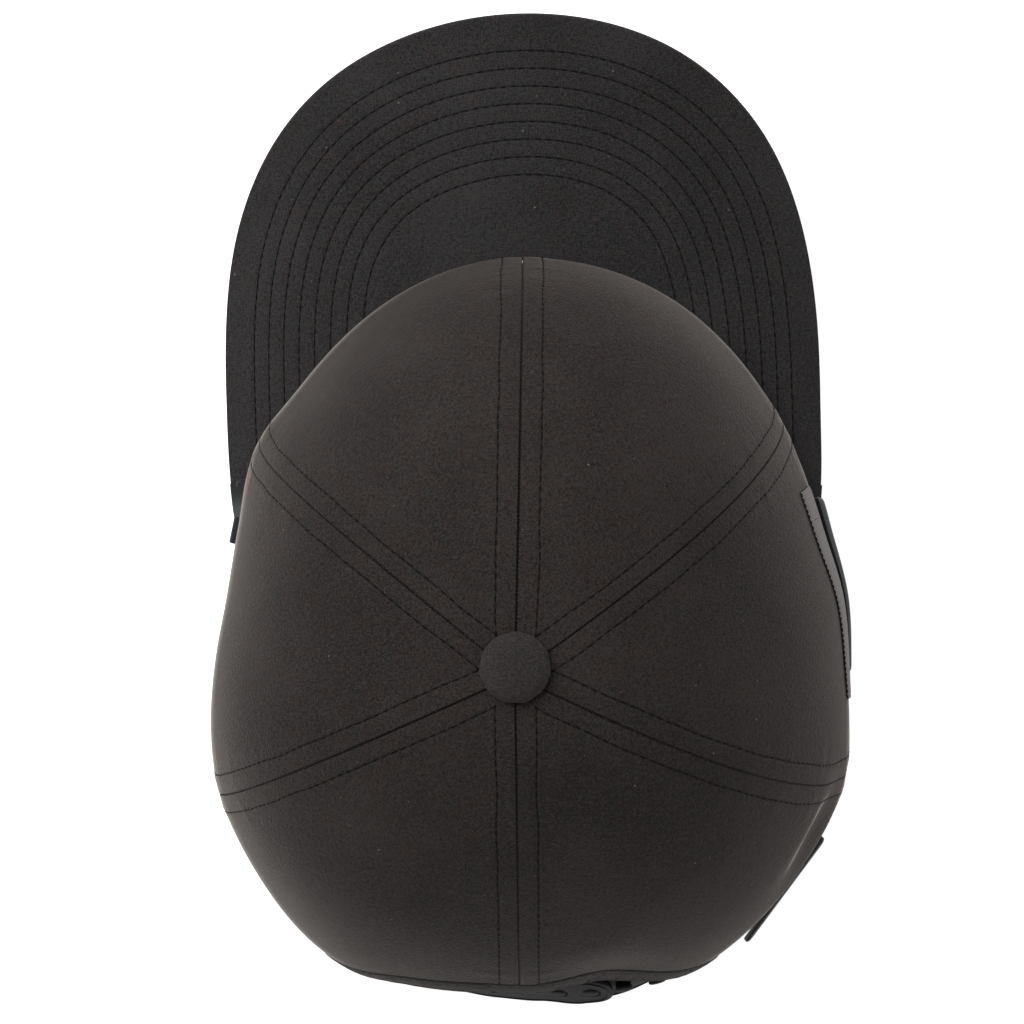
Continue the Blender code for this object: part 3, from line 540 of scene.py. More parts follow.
def through(places, values, place):
    """Smooth curve through a table's rows."""
    k = np.searchsorted(places, place, side="right") - 1
    span = places[k + 1] - places[k]
    share = (place - places[k]) / span
    change = values[k + 1] - values[k]
    slope_here = (values[k + 1] - values[k - 1]) / (places[k + 1] - places[k - 1]) * span
    slope_after = (values[k + 2] - values[k]) / (places[k + 2] - places[k]) * span
    return (values[k] + slope_here * share + (3.0 * change - 2.0 * slope_here - slope_after) * share ** 2
            + (slope_here + slope_after - 2.0 * change) * share ** 3)


def fullness(bearing):
    """Closed curve through the outline's table."""
    places, values = OUTLINE
    places = np.concatenate([places - 360.0, places, places + 360.0])
    return through(places, np.tile(values, 3), np.mod(bearing, 360.0))


def foot_reach(bearing):
    """Distance from under the button to the foot."""
    angle = np.radians(bearing)
    across = np.where(np.cos(angle) > 0.0, LEFT_REACH, RIGHT_REACH)
    along = np.where(np.sin(angle) > 0.0, REAR_REACH, FRONT_REACH)
    return fullness(bearing) / np.hypot(np.cos(angle) / across, np.sin(angle) / along)


def profile_power(bearing):
    """How square the profile is: 2 is an ellipse, more is fuller."""
    angle = np.radians(bearing)
    across = np.where(np.cos(angle) > 0.0, PROFILE["left"], PROFILE["right"])
    along = np.where(np.sin(angle) > 0.0, PROFILE["rear"], PROFILE["front"])
    return across * np.cos(angle) ** 2 + along * np.sin(angle) ** 2


def dome_shares(bearing, turn):
    """Reach and height as shares of the foot's reach and of the crown's height."""
    power = profile_power(bearing)
    across = np.sin(turn)
    up = np.maximum(np.cos(turn), 0.0)
    length = (across ** power + up ** power) ** (1.0 / power)
    return across / length, up / length


def dome_point(bearing, turn):
    """Place on the crown's plain surface."""
    out, up = dome_shares(bearing, turn)
    reach = foot_reach(bearing) * out
    for dent in DENTS:
        aside = np.abs(np.mod(bearing - dent["bearing"] + 180.0, 360.0) - 180.0) / dent["bearing_span"]
        above = np.abs(up - dent["height"]) / dent["height_span"]
        reach = reach - dent["depth"] * smooth_step(1.0 - aside) * smooth_step(1.0 - above)
    angle = np.radians(bearing)
    return np.stack([BUTTON_X + reach * np.cos(angle), reach * np.sin(angle), CROWN_HEIGHT * up], axis=-1)


def dome_normal(bearing, turn, small_bearing=0.2, small_turn=0.004):
    """Outward normal, level at the foot, where the wall stands upright."""
    round_way = dome_point(bearing + small_bearing, turn) - dome_point(bearing - small_bearing, turn)
    low = np.minimum(turn + small_turn, QUARTER)
    down_way = dome_point(bearing, low) - dome_point(bearing, turn - small_turn)
    normal = np.cross(down_way, round_way)
    normal[..., 2] = np.where(turn >= QUARTER - small_turn, 0.0, normal[..., 2])
    return unit(normal)


def off_crown(bearing, turn, outward):
    """Place off the crown's plain surface."""
    return dome_point(bearing, turn) + dome_normal(bearing, turn) * np.asarray(outward)[..., None]


def turn_at(bearing, height):
    """Turn at which the crown is so high."""
    power = profile_power(bearing)
    share = np.clip(height / CROWN_HEIGHT, 0.0, 1.0)
    return np.arctan2((1.0 - share ** power) ** (1.0 / power), share)


def wall_point(bearing, height, outward):
    """Place on or off the crown's wall at a height."""
    bearing, height, outward = np.broadcast_arrays(bearing, height, outward)
    return off_crown(bearing, turn_at(bearing, height), outward)


def seam_bearing(name, turn):
    """Bearing of a seam, which passes the apex on its own side of the button's middle."""
    row = SEAMS[name]
    bearing = row["top"] + (row["foot"] - row["top"]) * (1.0 - np.cos(turn)) ** row["sway"]
    radius = np.maximum(foot_reach(bearing) * dome_shares(bearing, turn)[0], 1e-6)
    aside = np.minimum(SEAM_MEET / radius, SEAM_MEET_LIMIT)
    return bearing + np.degrees(np.arcsin(aside * np.cos(np.radians(bearing))))


crown_foot = dome_point(np.arange(360.0), np.full(360, QUARTER))
print("crown width:", round(float(np.ptp(crown_foot[:, 0])) / MM, 1), "mm")

# %% [markdown]
# ## The foot of the crown
#
# The foot lies on the table at the sides, climbs onto the brim in front and over the arched
# opening at the back. The brim is a sheet bent round a wide cylinder, so its height depends only
# on the distance from its middle line.

# %% Brim arch, foot and opening
BRIM_HALF_WIDTH = 84.3 * MM
BRIM_FRONT_Y = -178.1 * MM
BRIM_WIDEST_Y = -71.6 * MM
BRIM_LEFT_END_Y = -38.5 * MM
BRIM_RIGHT_END_Y = -44.0 * MM
BRIM_ARCH_RADIUS = 145.0 * MM
BRIM_THICKNESS = 3.2 * MM
BRIM_FLOOR_GAP = 0.4 * MM
BRIM_FRONT_POWER = 2.76
BRIM_SIDE_POWER = 2.0
BRIM_STRAIGHT_SHARE = 0.12
BRIM_LEFT_TAPER = 1.8 * MM
BRIM_RIGHT_TAPER = 0.9 * MM
BRIM_EDGE_ANGLE = math.asin(BRIM_HALF_WIDTH / BRIM_ARCH_RADIUS)
BRIM_ARCH_CENTRE = BRIM_FLOOR_GAP - (BRIM_ARCH_RADIUS - BRIM_THICKNESS) * math.cos(BRIM_EDGE_ANGLE)
OPENING_HALF_ARC = 50.0 * MM
OPENING_HEIGHT = 46.0 * MM
BINDING_WIDTH = 9.0 * MM
REAR_SEAM = SEAMS["rear"]["foot"]

# Place along the brim's middle line, and how far its outline leans to the wearer's left there, in mm
BRIM_LEAN = np.array([
    (-190.0, -2.0), (-178.4, -1.3), (-161.0, 0.4), (-140.0, 1.2), (-115.0, 1.5),
    (-88.0, 0.9), (-65.0, 0.2), (-48.0, -0.5), (-38.0, -0.6), (-30.0, -0.5),
]).T * MM


def brim_height(x, depth):
    """Height of the brim's sheet at a depth below its top side."""
    return BRIM_ARCH_CENTRE + np.sqrt((BRIM_ARCH_RADIUS - depth) ** 2 - x * x)


def brim_seat(bearing, depth, outward, rounds=6):
    """Place on the crown's wall level with the brim's sheet at a depth below its top side."""
    place = wall_point(bearing, 0.0, outward)
    for _ in range(rounds):
        place = wall_point(bearing, np.maximum(brim_height(place[..., 0], depth), 0.0), outward)
    return place


def brim_end_y(side):
    """Where the brim ends, side being positive on the wearer's left."""
    return np.where(np.asarray(side) > 0.0, BRIM_LEFT_END_Y, BRIM_RIGHT_END_Y)


def arc_bearing(arc):
    """Bearing at a length round the back from the rear seam, to the wearer's left."""
    return REAR_SEAM - np.degrees(arc / REAR_REACH)


def foot_height(bearing):
    """Height of the crown's foot away from the opening: on the table, or on the brim."""
    on_table = wall_point(bearing, 0.0, 0.0)
    seat = brim_seat(bearing, BRIM_THICKNESS, 0.0)[..., 2]
    return np.where(on_table[..., 1] > brim_end_y(on_table[..., 0]), 0.0, seat)


def bearing_at_y(target, side):
    """Bearing at which the foot crosses a line across the cap, on the left or right side."""
    bearings = np.linspace(-90.0, 90.0, 3601) if side > 0.0 else np.linspace(270.0, 90.0, 3601)
    return float(np.interp(target, wall_point(bearings, 0.0, 0.0)[:, 1], bearings))


BRIM_ENDS = [bearing_at_y(BRIM_LEFT_END_Y, 1.0), bearing_at_y(BRIM_RIGHT_END_Y, -1.0)]
print("brim meets the crown at bearings", np.round(BRIM_ENDS, 1))

# %% [markdown]
# ## Six crown panels
#
# Each panel is a gore, wide at the foot and pointed at the button. Where two gores meet, their
# edges are folded under and pressed open, and a row of stitches on each side holds the fold. That
# makes a sharp groove on the seam, a slightly raised strip on each side of it, and a small valley
# under each stitch row, with soft puckers where the thread pulls.
#
# The mesh follows this: its columns lie close together near the seams and wide apart in the
# middle. The relief is real geometry, so it also shows in the outline.

# %% Relief beside a seam
SEAM_ROLL = 0.45 * MM
SEAM_DEPTH = 0.60 * MM
ALLOWANCE_RISE = 0.22 * MM
ALLOWANCE_END = 7.4 * MM
ALLOWANCE_FADE = 2.0 * MM
STITCH_VALLEY = 0.20 * MM
VALLEY_WIDTH = 0.55 * MM
PUCKER_RISE = 0.16 * MM
PUCKER_START, PUCKER_GROWTH = 1.0 * MM, 3.0 * MM
PUCKER_END, PUCKER_FADE = 15.0 * MM, 9.0 * MM
PUCKER_HEIGHT = 30.0 * MM
WANDER = 0.22 * MM
WANDER_LENGTH = 16.0 * MM
BAND_STEPS = [0.05, 0.2, 0.4, 0.6, 0.9, 1.6, 2.5, 3.5, 4.3, 4.9, 5.4, 5.9, 6.5, 7.3, 8.5, 10.0]
BAND = BAND_STEPS[-1] * MM


def round_off(near):
    """Drop of a rounded edge as a share of its radius: none at 0, all of it at 1."""
    return 1.0 - np.sqrt(1.0 - np.clip(near, 0.0, 1.0) ** 2)


def uneven(along, seed, shortest=5.0 * MM, count=5):
    """A repeatable uneven wave from -1 to 1, made of a few sines of unrelated lengths."""
    total = np.zeros_like(along)
    for k in range(count):
        length = shortest * 1.37 ** k * (1.0 + 0.11 * math.sin(seed * 5.1 + k))
        total += np.sin(along * math.tau / length + seed * 2.3 + k * 1.9)
    return total / count ** 0.5 / 1.6


def stitch_wander(along, seed):
    """How far a hand-guided row of stitches strays from its line."""
    return WANDER * uneven(along, seed + 11.0, shortest=WANDER_LENGTH)


def seam_relief(distance, along, seed):
    """How far the cloth lies above the plain surface, at a distance from a seam."""
    groove = -SEAM_DEPTH * round_off(1.0 - distance / SEAM_ROLL)
    rise = ALLOWANCE_RISE * smooth_step((ALLOWANCE_END - distance) / ALLOWANCE_FADE)
    from_row = distance - STITCH_OFFSET - stitch_wander(along, seed)
    valley = -STITCH_VALLEY * np.exp(-(from_row / VALLEY_WIDTH) ** 2)
    reach = (smooth_step((distance - PUCKER_START) / PUCKER_GROWTH)
             * smooth_step((PUCKER_END - distance) / PUCKER_FADE))
    pull = 0.5 + 0.5 * np.exp(-along / PUCKER_HEIGHT)
    return groove + rise + valley + PUCKER_RISE * reach * pull * uneven(along, seed)


# %% The foot of one panel, from seam to seam


def settle_on_foot(name):
    """Bearing at which a seam reaches the foot."""
    bearing = np.array(SEAMS[name]["foot"])
    if name == "rear":
        return float(bearing)
    for _ in range(6):
        bearing = seam_bearing(name, turn_at(bearing, foot_height(bearing)))
    return float(bearing)


def foot_path(first, last, fine=240):
    """Bearings and heights along a panel's lower edge."""
    start, end = settle_on_foot(first), settle_on_foot(last)
    if "rear" not in (first, last):
        bearings = np.linspace(start, end, fine)
        return bearings, foot_height(bearings)
    side = 1.0 if last == "rear" else -1.0
    half_arc = OPENING_HALF_ARC + BINDING_WIDTH
    plain = np.linspace(start if side > 0.0 else end, arc_bearing(side * half_arc), fine // 2)
    turns = np.linspace(0.0, QUARTER, fine)[1:]
    bearings = np.concatenate([plain, arc_bearing(side * half_arc * np.cos(turns))])
    heights = np.concatenate([np.zeros_like(plain), (OPENING_HEIGHT + BINDING_WIDTH) * np.sin(turns)])
    return (bearings, heights) if side > 0.0 else (bearings[::-1], heights[::-1])


def panel_width(first, last, turn, pieces=16):
    """Length round the crown between two seams at a turn."""
    start, end = seam_bearing(first, turn), seam_bearing(last, turn)
    bearings = start[..., None] + (end - start)[..., None] * np.linspace(0.0, 1.0, pieces + 1)
    points = dome_point(bearings, np.broadcast_to(turn[..., None], bearings.shape))
    return np.linalg.norm(np.diff(points, axis=-2), axis=-1).sum(axis=-1)


def lengths_along(points):
    """Length from a line's first point to each of its points."""
    return np.concatenate([[0.0], np.cumsum(np.linalg.norm(np.diff(points, axis=0), axis=1))])


# %% Places on one panel
PANEL_ROWS = 118
MIDDLE_PITCH = 2.1 * MM
BAND_SHARE = 0.42
STRAY_START, STRAY_GROWTH = 2.0 * MM, 2.0 * MM


class Panel:
    """Places on one panel: how far across it, in metres from either seam, and how far up."""

    def __init__(self, name, first, last, seed):
        self.name, self.first, self.last, self.seed = name, first, last, seed
        self.turns = np.linspace(0.02, QUARTER, 200)
        self.widths = panel_width(first, last, self.turns)
        bearings, heights = foot_path(first, last)
        steps = lengths_along(wall_point(bearings, heights, 0.0))
        self.band = np.array(BAND_STEPS) * MM
        self.middles = int((steps[-1] - 2.0 * BAND) / MIDDLE_PITCH)
        middle = np.linspace(BAND, steps[-1] - BAND, self.middles + 2)[1:-1]
        lengths = np.concatenate([self.band, middle, steps[-1] - self.band[::-1]])
        self.bearing = np.interp(lengths, steps, bearings)
        self.foot_turn = turn_at(self.bearing, np.interp(lengths, steps, heights))

    def width(self, turn):
        return np.interp(turn, self.turns, self.widths)

    def place(self, share, turn):
        """Bearing at a share of the way from the first seam to the last."""
        start, end = seam_bearing(self.first, turn), seam_bearing(self.last, turn)
        return start + (end - start) * share

    def foot_share(self):
        start, end = seam_bearing(self.first, self.foot_turn), seam_bearing(self.last, self.foot_turn)
        return (self.bearing - start) / (end - start)

    def shares(self, turn):
        """Shares across the panel for a row of columns, each with its own turn."""
        count = len(self.band)
        width = self.width(turn)
        squeeze = np.minimum(1.0, BAND_SHARE * width / BAND)
        edge = BAND * squeeze / width
        share = np.empty_like(turn)
        share[..., :count] = (self.band * squeeze[..., :count]) / width[..., :count]
        share[..., -count:] = 1.0 - (self.band[::-1] * squeeze[..., -count:]) / width[..., -count:]
        foot_width = self.width(self.foot_turn)
        foot_edge = BAND * np.minimum(1.0, BAND_SHARE * foot_width / BAND) / foot_width
        part = (self.foot_share() - foot_edge) / (1.0 - 2.0 * foot_edge)
        centre = slice(count, count + self.middles)
        share[..., centre] = edge[..., centre] + (1.0 - 2.0 * edge[..., centre]) * part[centre]
        return share

    def from_seams(self, share, turn):
        """Distances from the first and the last seam."""
        width = self.width(turn)
        return share * width, (1.0 - share) * width

    def relief(self, share, turn, along):
        first, last = self.from_seams(share, turn)
        return seam_relief(first, along, self.seed) + seam_relief(last, along, self.seed + 1.0)

    def seam_distance(self, share, turn, along):
        """Distance from the nearer seam, shifted so that the stitch row keeps its number as it strays."""
        first, last = self.from_seams(share, turn)
        nearest = np.minimum(first, last)
        stray = np.where(first < last, stitch_wander(along, self.seed), stitch_wander(along, self.seed + 1.0))
        return nearest - stray * smooth_step((nearest - STRAY_START) / STRAY_GROWTH)


PANELS = [
    Panel("panel_front_left", "front", "left_front", 0.0),
    Panel("panel_side_left", "left_front", "left_rear", 1.0),
    Panel("panel_rear_left", "left_rear", "rear", 2.0),
    Panel("panel_rear_right", "rear", "right_rear", 3.0),
    Panel("panel_side_right", "right_rear", "right_front", 4.0),
    Panel("panel_front_right", "right_front", "front_again", 5.0),
]
print("columns on each panel:", [len(panel.bearing) for panel in PANELS])

# %% The panels' meshes and maps
MERIDIAN_TURNS = np.linspace(0.0, QUARTER, 400)
MERIDIAN_LENGTHS = lengths_along(dome_point(np.full(400, 180.0), MERIDIAN_TURNS))


def meridian_length(turn):
    """Length up the crown from the level of the table, the same on every panel."""
    return MERIDIAN_LENGTHS[-1] - np.interp(turn, MERIDIAN_TURNS, MERIDIAN_LENGTHS)


for panel in PANELS:
    up = np.linspace(0.0, 1.0, PANEL_ROWS + 1)[:, None]
    top_turn = np.full_like(panel.foot_turn, APEX_HOLE / CROWN_HEIGHT)
    for _ in range(3):
        top_turn = np.arcsin(APEX_HOLE / foot_reach(panel.place(panel.shares(top_turn), top_turn)))
    turn = panel.foot_turn + (top_turn - panel.foot_turn) * up
    share = panel.shares(turn)
    bearing = panel.place(share, turn)
    along = meridian_length(turn)
    outer = off_crown(bearing, turn, panel.relief(share, turn, along))
    inner = off_crown(bearing, turn, np.full_like(turn, -CLOTH))
    flat = np.stack([(share - 0.5) * panel.width(turn), along], axis=-1)
    seam = np.stack([panel.seam_distance(share, turn, along), along], axis=-1)
    wall(panel.name + "_cloth", outer, inner, flat, CROWN_CLOTH, "crown_cloth", panel.name, seam=seam)

# %% [markdown]
# ## The folded edges under the seams
#
# Inside, the two folded edges of every seam lie open and flat against the panels, so a seam never
# lets daylight through. They are one thin strip here, narrower near the button, where six of them
# meet.

# %% A strip under each seam
ALLOWANCE_WIDTH = 5.0 * MM
ALLOWANCE_TOP = -CLOTH - 0.05 * MM
ALLOWANCE_THICKNESS = 0.45 * MM
ALLOWANCE_SHARE = 0.42
OVER_BINDING = 1.0 * MM
FOOT_CLEAR = 0.004
ALLOWANCE_ENDS_AT = 1.2 * APEX_HOLE / LEFT_REACH

for name in SEAMS:
    if name == "front_again":
        continue
    if name == "rear":
        foot = float(turn_at(np.array(REAR_SEAM), OPENING_HEIGHT + BINDING_WIDTH + OVER_BINDING))
    else:
        bearing = np.array(settle_on_foot(name))
        foot = float(turn_at(bearing, foot_height(bearing))) - FOOT_CLEAR
    turn = np.linspace(foot, ALLOWANCE_ENDS_AT, 90)[:, None]
    middle = seam_bearing(name, turn)
    radius = foot_reach(middle) * dome_shares(middle, turn)[0]
    half = np.minimum(ALLOWANCE_WIDTH, ALLOWANCE_SHARE * radius)
    across = np.linspace(-1.0, 1.0, 9)
    bearing = middle + np.degrees(half / radius) * across
    turn = np.broadcast_to(turn, bearing.shape)
    upper = off_crown(bearing, turn, np.full_like(turn, ALLOWANCE_TOP))
    lower = off_crown(bearing, turn, np.full_like(turn, ALLOWANCE_TOP - ALLOWANCE_THICKNESS))
    flat = np.stack([half * across, meridian_length(turn)], axis=-1)
    wall("seam_allowance_" + name, upper, lower, flat, PLAIN_CLOTH, "crown_cloth")

# %% [markdown]
# ## The button
#
# A tin button covered with the crown's cloth: a low dome whose cloth is gathered under the rim, so
# its edge is a little uneven.

# %% Button from rings of points
BUTTON_RADIUS = (button_high[0] - button_low[0]) / 2.0
BUTTON_TOP = button_high[2]
BUTTON_SEAT = CROWN_HEIGHT + GAP
BUTTON_RIM = 0.9 * MM
BUTTON_MIDDLE = BUTTON_SEAT + BUTTON_RIM
BUTTON_SIDES = 96
BUTTON_FOLDS = 11
BUTTON_GATHER = 0.010
BUTTON_PLAIN_SHARE = 0.72
BUTTON_STEM = APEX_HOLE - GAP
BUTTON_SHARP = 60.0
BUTTON_MERGE = 0.01 * MM
POINT_RADIUS = 0.001 * MM


def button_profile(dome_rings=26, rim_rings=6):
    """Radius and height of each ring: dome, rolled rim, flat underside and stem."""
    profile = [(POINT_RADIUS, BUTTON_TOP)]
    for turn in QUARTER * np.arange(1, dome_rings + 1) / dome_rings:
        rise = max(0.0, math.cos(turn)) ** 0.9
        profile.append((BUTTON_RADIUS * math.sin(turn) ** 0.8,
                        BUTTON_MIDDLE + (BUTTON_TOP - BUTTON_MIDDLE) * rise))
    for turn in QUARTER * np.arange(1, rim_rings + 1) / rim_rings:
        profile.append((BUTTON_RADIUS - BUTTON_RIM * (1.0 - math.cos(turn)),
                        BUTTON_MIDDLE - BUTTON_RIM * math.sin(turn)))
    stem_end = CROWN_HEIGHT - CLOTH
    return np.array(profile + [(BUTTON_STEM, BUTTON_SEAT), (BUTTON_STEM, stem_end), (POINT_RADIUS, stem_end)])


def turned(profile, sides, ripple=1.0):
    """Rings of points as a lathe turns them, rings x sides x 3, from radii and heights."""
    angle = np.arange(sides) * math.tau / sides
    radius = profile[:, :1] * ripple
    return np.stack([radius * np.cos(angle), radius * np.sin(angle),
                     np.broadcast_to(profile[:, 1:], (len(profile), sides))], axis=-1)


def ring_mesh(name, rings, sharp=None, merge=MERGE):
    """Mesh over rings of points, closed at both ends."""
    mesh = bpy.data.meshes.new(name)
    mesh.from_pydata(rings.reshape(-1, 3).tolist(), [], ring_faces(*rings.shape[:2]))
    close_mesh(mesh, sharp, merge)
    return mesh


button_rings = button_profile()
button_angle = np.arange(BUTTON_SIDES) * math.tau / BUTTON_SIDES
from_plain = button_rings[:, :1] / BUTTON_RADIUS - BUTTON_PLAIN_SHARE
gathered = smooth_step(from_plain / (1.0 - BUTTON_PLAIN_SHARE))
folds = np.sin(button_angle * BUTTON_FOLDS) + 0.6 * np.sin(button_angle * 7.0 + 1.0)
button_rings = turned(button_rings, BUTTON_SIDES, 1.0 + BUTTON_GATHER * gathered * folds)
button_mesh = ring_mesh("top_button_cover", button_rings + HOME + (BUTTON_X, 0.0, 0.0), BUTTON_SHARP,
                        BUTTON_MERGE)
button_map = np.array([button_mesh.vertices[loop.vertex_index].co[:2] for loop in button_mesh.loops])
button_mesh.uv_layers.new(name="cloth").data.foreach_set("uv", button_map.ravel())
finish_piece("top_button_cover", button_mesh, BUTTON_CLOTH, "crown_cloth", "top_button")

# %% [markdown]
# ## The brim
#
# A board covered with cloth above and below, bent into an arch. Eight rows of stitches run about
# 5 mm apart, all parallel to the outer edge, so they are easiest to see on the sheet laid flat:
# there a row is simply a fixed distance from the edge. The mesh is laid out flat, its distance
# from the edge is measured, each row presses a shallow groove, and then the sheet is bent.

# %% The brim's outline, laid flat
BRIM_COLUMNS = 250
BRIM_ROWS = 96
BRIM_EDGE_LENGTH = 400.0 * MM
ROW_DEPTH = 0.22 * MM
ROW_WIDTH = 0.60 * MM
EDGE_ROUND = BRIM_THICKNESS / 2.0
BRIM_TUCK = 0.6 * MM


def brim_edge(share):
    """Flat place of the outer edge, share going from the left end over the front to the right."""
    side = np.where(share > 0.5, -1.0, 1.0)
    way = 1.0 - np.abs(2.0 * share - 1.0)
    back = np.clip(1.0 - way / BRIM_STRAIGHT_SHARE, 0.0, 1.0)
    turn = QUARTER * np.clip((way - BRIM_STRAIGHT_SHARE) / (1.0 - BRIM_STRAIGHT_SHARE), 0.0, 1.0)
    taper = np.where(side > 0.0, BRIM_LEFT_TAPER, BRIM_RIGHT_TAPER) * back ** 4
    angle = BRIM_EDGE_ANGLE * np.cos(turn) ** (2.0 / BRIM_SIDE_POWER) - taper / BRIM_ARCH_RADIUS
    y = BRIM_WIDEST_Y + (BRIM_FRONT_Y - BRIM_WIDEST_Y) * np.sin(turn) ** (2.0 / BRIM_FRONT_POWER)
    y = np.where(back > 0.0, BRIM_WIDEST_Y + (brim_end_y(side) - BRIM_WIDEST_Y) * back, y)
    return np.stack([side * angle * BRIM_ARCH_RADIUS + through(*BRIM_LEAN, y), y], axis=-1)


def brim_foot(share):
    """Flat place where the brim's top side meets the crown."""
    left, right = BRIM_ENDS[0], BRIM_ENDS[1] - 360.0
    seat = brim_seat(left + (right - left) * share, 0.0, -BRIM_TUCK)
    return np.stack([np.arcsin(seat[..., 0] / BRIM_ARCH_RADIUS) * BRIM_ARCH_RADIUS, seat[..., 1]], axis=-1)


def bend_brim(flat, depth):
    """The flat sheet bent round its arch."""
    angle = flat[..., 0] / BRIM_ARCH_RADIUS
    radius = BRIM_ARCH_RADIUS - depth
    height = BRIM_ARCH_CENTRE + radius * np.cos(angle)
    return np.stack([radius * np.sin(angle), flat[..., 1], height], axis=-1)


EDGE_LINE = brim_edge(np.linspace(0.0, 1.0, 1201))


def edge_distance(flat, at_once=2000):
    """Distance of flat places from the outer edge."""
    points = flat.reshape(-1, 2)
    nearest = np.full(len(points), np.inf)
    start, way = EDGE_LINE[:-1], np.diff(EDGE_LINE, axis=0)
    length = (way ** 2).sum(axis=1)
    for k in range(0, len(points), at_once):
        part = points[k:k + at_once, None, :]
        share = np.clip(((part - start) * way).sum(axis=2) / length, 0.0, 1.0)
        gap = part - start - way * share[..., None]
        nearest[k:k + at_once] = np.sqrt((gap ** 2).sum(axis=2)).min(axis=1)
    return nearest.reshape(flat.shape[:-1])


def row_grooves(distance):
    """The shallow grooves that the rows of stitches press into the cloth."""
    number = np.clip(np.round((distance - FIRST_ROW) / ROW_PITCH), 0, ROW_COUNT - 1)
    return ROW_DEPTH * np.exp(-((distance - FIRST_ROW - number * ROW_PITCH) / ROW_WIDTH) ** 2)


print("brim:", round(float(np.ptp(EDGE_LINE[:, 0])) / MM, 1), "mm wide laid flat")

# %% The brim's mesh
share = np.linspace(0.0, 1.0, BRIM_COLUMNS + 1)
foot, edge = brim_foot(share), brim_edge(share)
reach = np.linalg.norm(edge - foot, axis=1)
rounded = EDGE_ROUND * (1.0 - np.sin(np.linspace(0.0, QUARTER, 6)))
plain = np.linspace(0.0, 1.0, BRIM_ROWS + 1)[:, None] * (reach - EDGE_ROUND)
out = np.concatenate([plain, reach - rounded[1:, None]])
flat = foot + (edge - foot) * (out / reach)[..., None]
distance = edge_distance(flat)
sink = EDGE_ROUND * round_off(1.0 - (reach - out) / EDGE_ROUND) + row_grooves(distance)
seam = np.stack([distance, np.broadcast_to(share * BRIM_EDGE_LENGTH, distance.shape)], axis=-1)
wall("brim_cloth", bend_brim(flat, sink), bend_brim(flat, BRIM_THICKNESS - sink), flat, BRIM_CLOTH,
     "brim_cloth", "brim", seam=seam)

# %% [markdown]
# ## Stitches
#
# A machine stitch is a short run of thread on the surface that dives at both ends. Here one stitch
# is a bent, capped tube, and Geometry Nodes lays it along guide lines at an even pitch, standing
# on the cloth: the tree turns each stitch along its line and then towards the line's stored
# normal. A loop in Python could do the same, but the tree keeps length, pitch and thickness as
# inputs that can be changed at any time. Its result is made a plain mesh at the end.

# %% A tree with named inputs, and what it makes on guide points


def new_tree(name, result, inputs):
    """An empty tree with its named inputs and its output, and the node that gives the inputs."""
    tree = bpy.data.node_groups.new(name, "GeometryNodeTree")
    for title, kind, value in inputs:
        socket = tree.interface.new_socket(title, in_out="INPUT", socket_type=kind)
        if value is not None:
            socket.default_value = value
    tree.interface.new_socket(result, in_out="OUTPUT", socket_type="NodeSocketGeometry")
    return tree, add(tree, "NodeGroupInput")


def plain_mesh(item, name):
    """What an object looks like after its steps, as a plain mesh. The object goes."""
    bpy.context.scene.collection.objects.link(item)
    mesh = bpy.data.meshes.new_from_object(item.evaluated_get(bpy.context.evaluated_depsgraph_get()))
    mesh.name = name
    bpy.data.objects.remove(item)
    return mesh


def grow(tree, name, points, edges, normals, values):
    """The plain mesh that a tree makes on guide points in the pattern frame."""
    mesh = bpy.data.meshes.new(name + "_guide")
    mesh.from_pydata((points + HOME).tolist(), edges, [])
    mesh.attributes.new("up", "FLOAT_VECTOR", "POINT").data.foreach_set("vector", normals.ravel())
    guide = bpy.data.objects.new(name + "_guide", mesh)
    modifier = guide.modifiers.new(name, "NODES")
    modifier.node_group = tree
    for socket in tree.interface.items_tree:
        if socket.name in values:
            modifier[socket.identifier] = values[socket.name]
    return plain_mesh(guide, name)


# %% The stitch tree
STITCH_PITCH = 2.9 * MM
STITCH_LENGTH = 2.1 * MM
THREAD_WIDTH = 0.38 * MM
STITCH_SKEW = 0.07

stitches, given = new_tree("stitches_along_lines", "Stitches", [
    ("Lines", "NodeSocketGeometry", None),
    ("Pitch", "NodeSocketFloat", STITCH_PITCH),
    ("Length", "NodeSocketFloat", STITCH_LENGTH),
    ("Thread", "NodeSocketFloat", THREAD_WIDTH),
    ("Seed", "NodeSocketInt", 1),
    ("Material", "NodeSocketMaterial", None),
])
half = add(stitches, "ShaderNodeMath", (given.outputs["Length"], 0.5), operation="MULTIPLY")
behind = add(stitches, "ShaderNodeMath", (half, -1.0), operation="MULTIPLY")
sunk = add(stitches, "ShaderNodeMath", (given.outputs["Thread"], -0.55), operation="MULTIPLY")
raised = add(stitches, "ShaderNodeMath", (given.outputs["Thread"], 0.95), operation="MULTIPLY")
start_point = add(stitches, "ShaderNodeCombineXYZ", {"X": behind, "Z": sunk})
top_point = add(stitches, "ShaderNodeCombineXYZ", {"Z": raised})
end_point = add(stitches, "ShaderNodeCombineXYZ", {"X": half, "Z": sunk})
bow = add(stitches, "GeometryNodeCurveQuadraticBezier", {
    "Resolution": 4, "Start": start_point, "Middle": top_point, "End": end_point})
thread_radius = add(stitches, "ShaderNodeMath", (given.outputs["Thread"], 0.5), operation="MULTIPLY")
ring = add(stitches, "GeometryNodeCurvePrimitiveCircle", {"Resolution": 6, "Radius": thread_radius})
stitch = add(stitches, "GeometryNodeCurveToMesh", {"Curve": bow, "Profile Curve": ring, "Fill Caps": True})
curve = add(stitches, "GeometryNodeMeshToCurve", {"Mesh": given.outputs["Lines"]})
spread = add(stitches, "GeometryNodeResampleCurve", {"Curve": curve, "Length": given.outputs["Pitch"]},
             mode="LENGTH")
tangent = add(stitches, "GeometryNodeInputTangent")
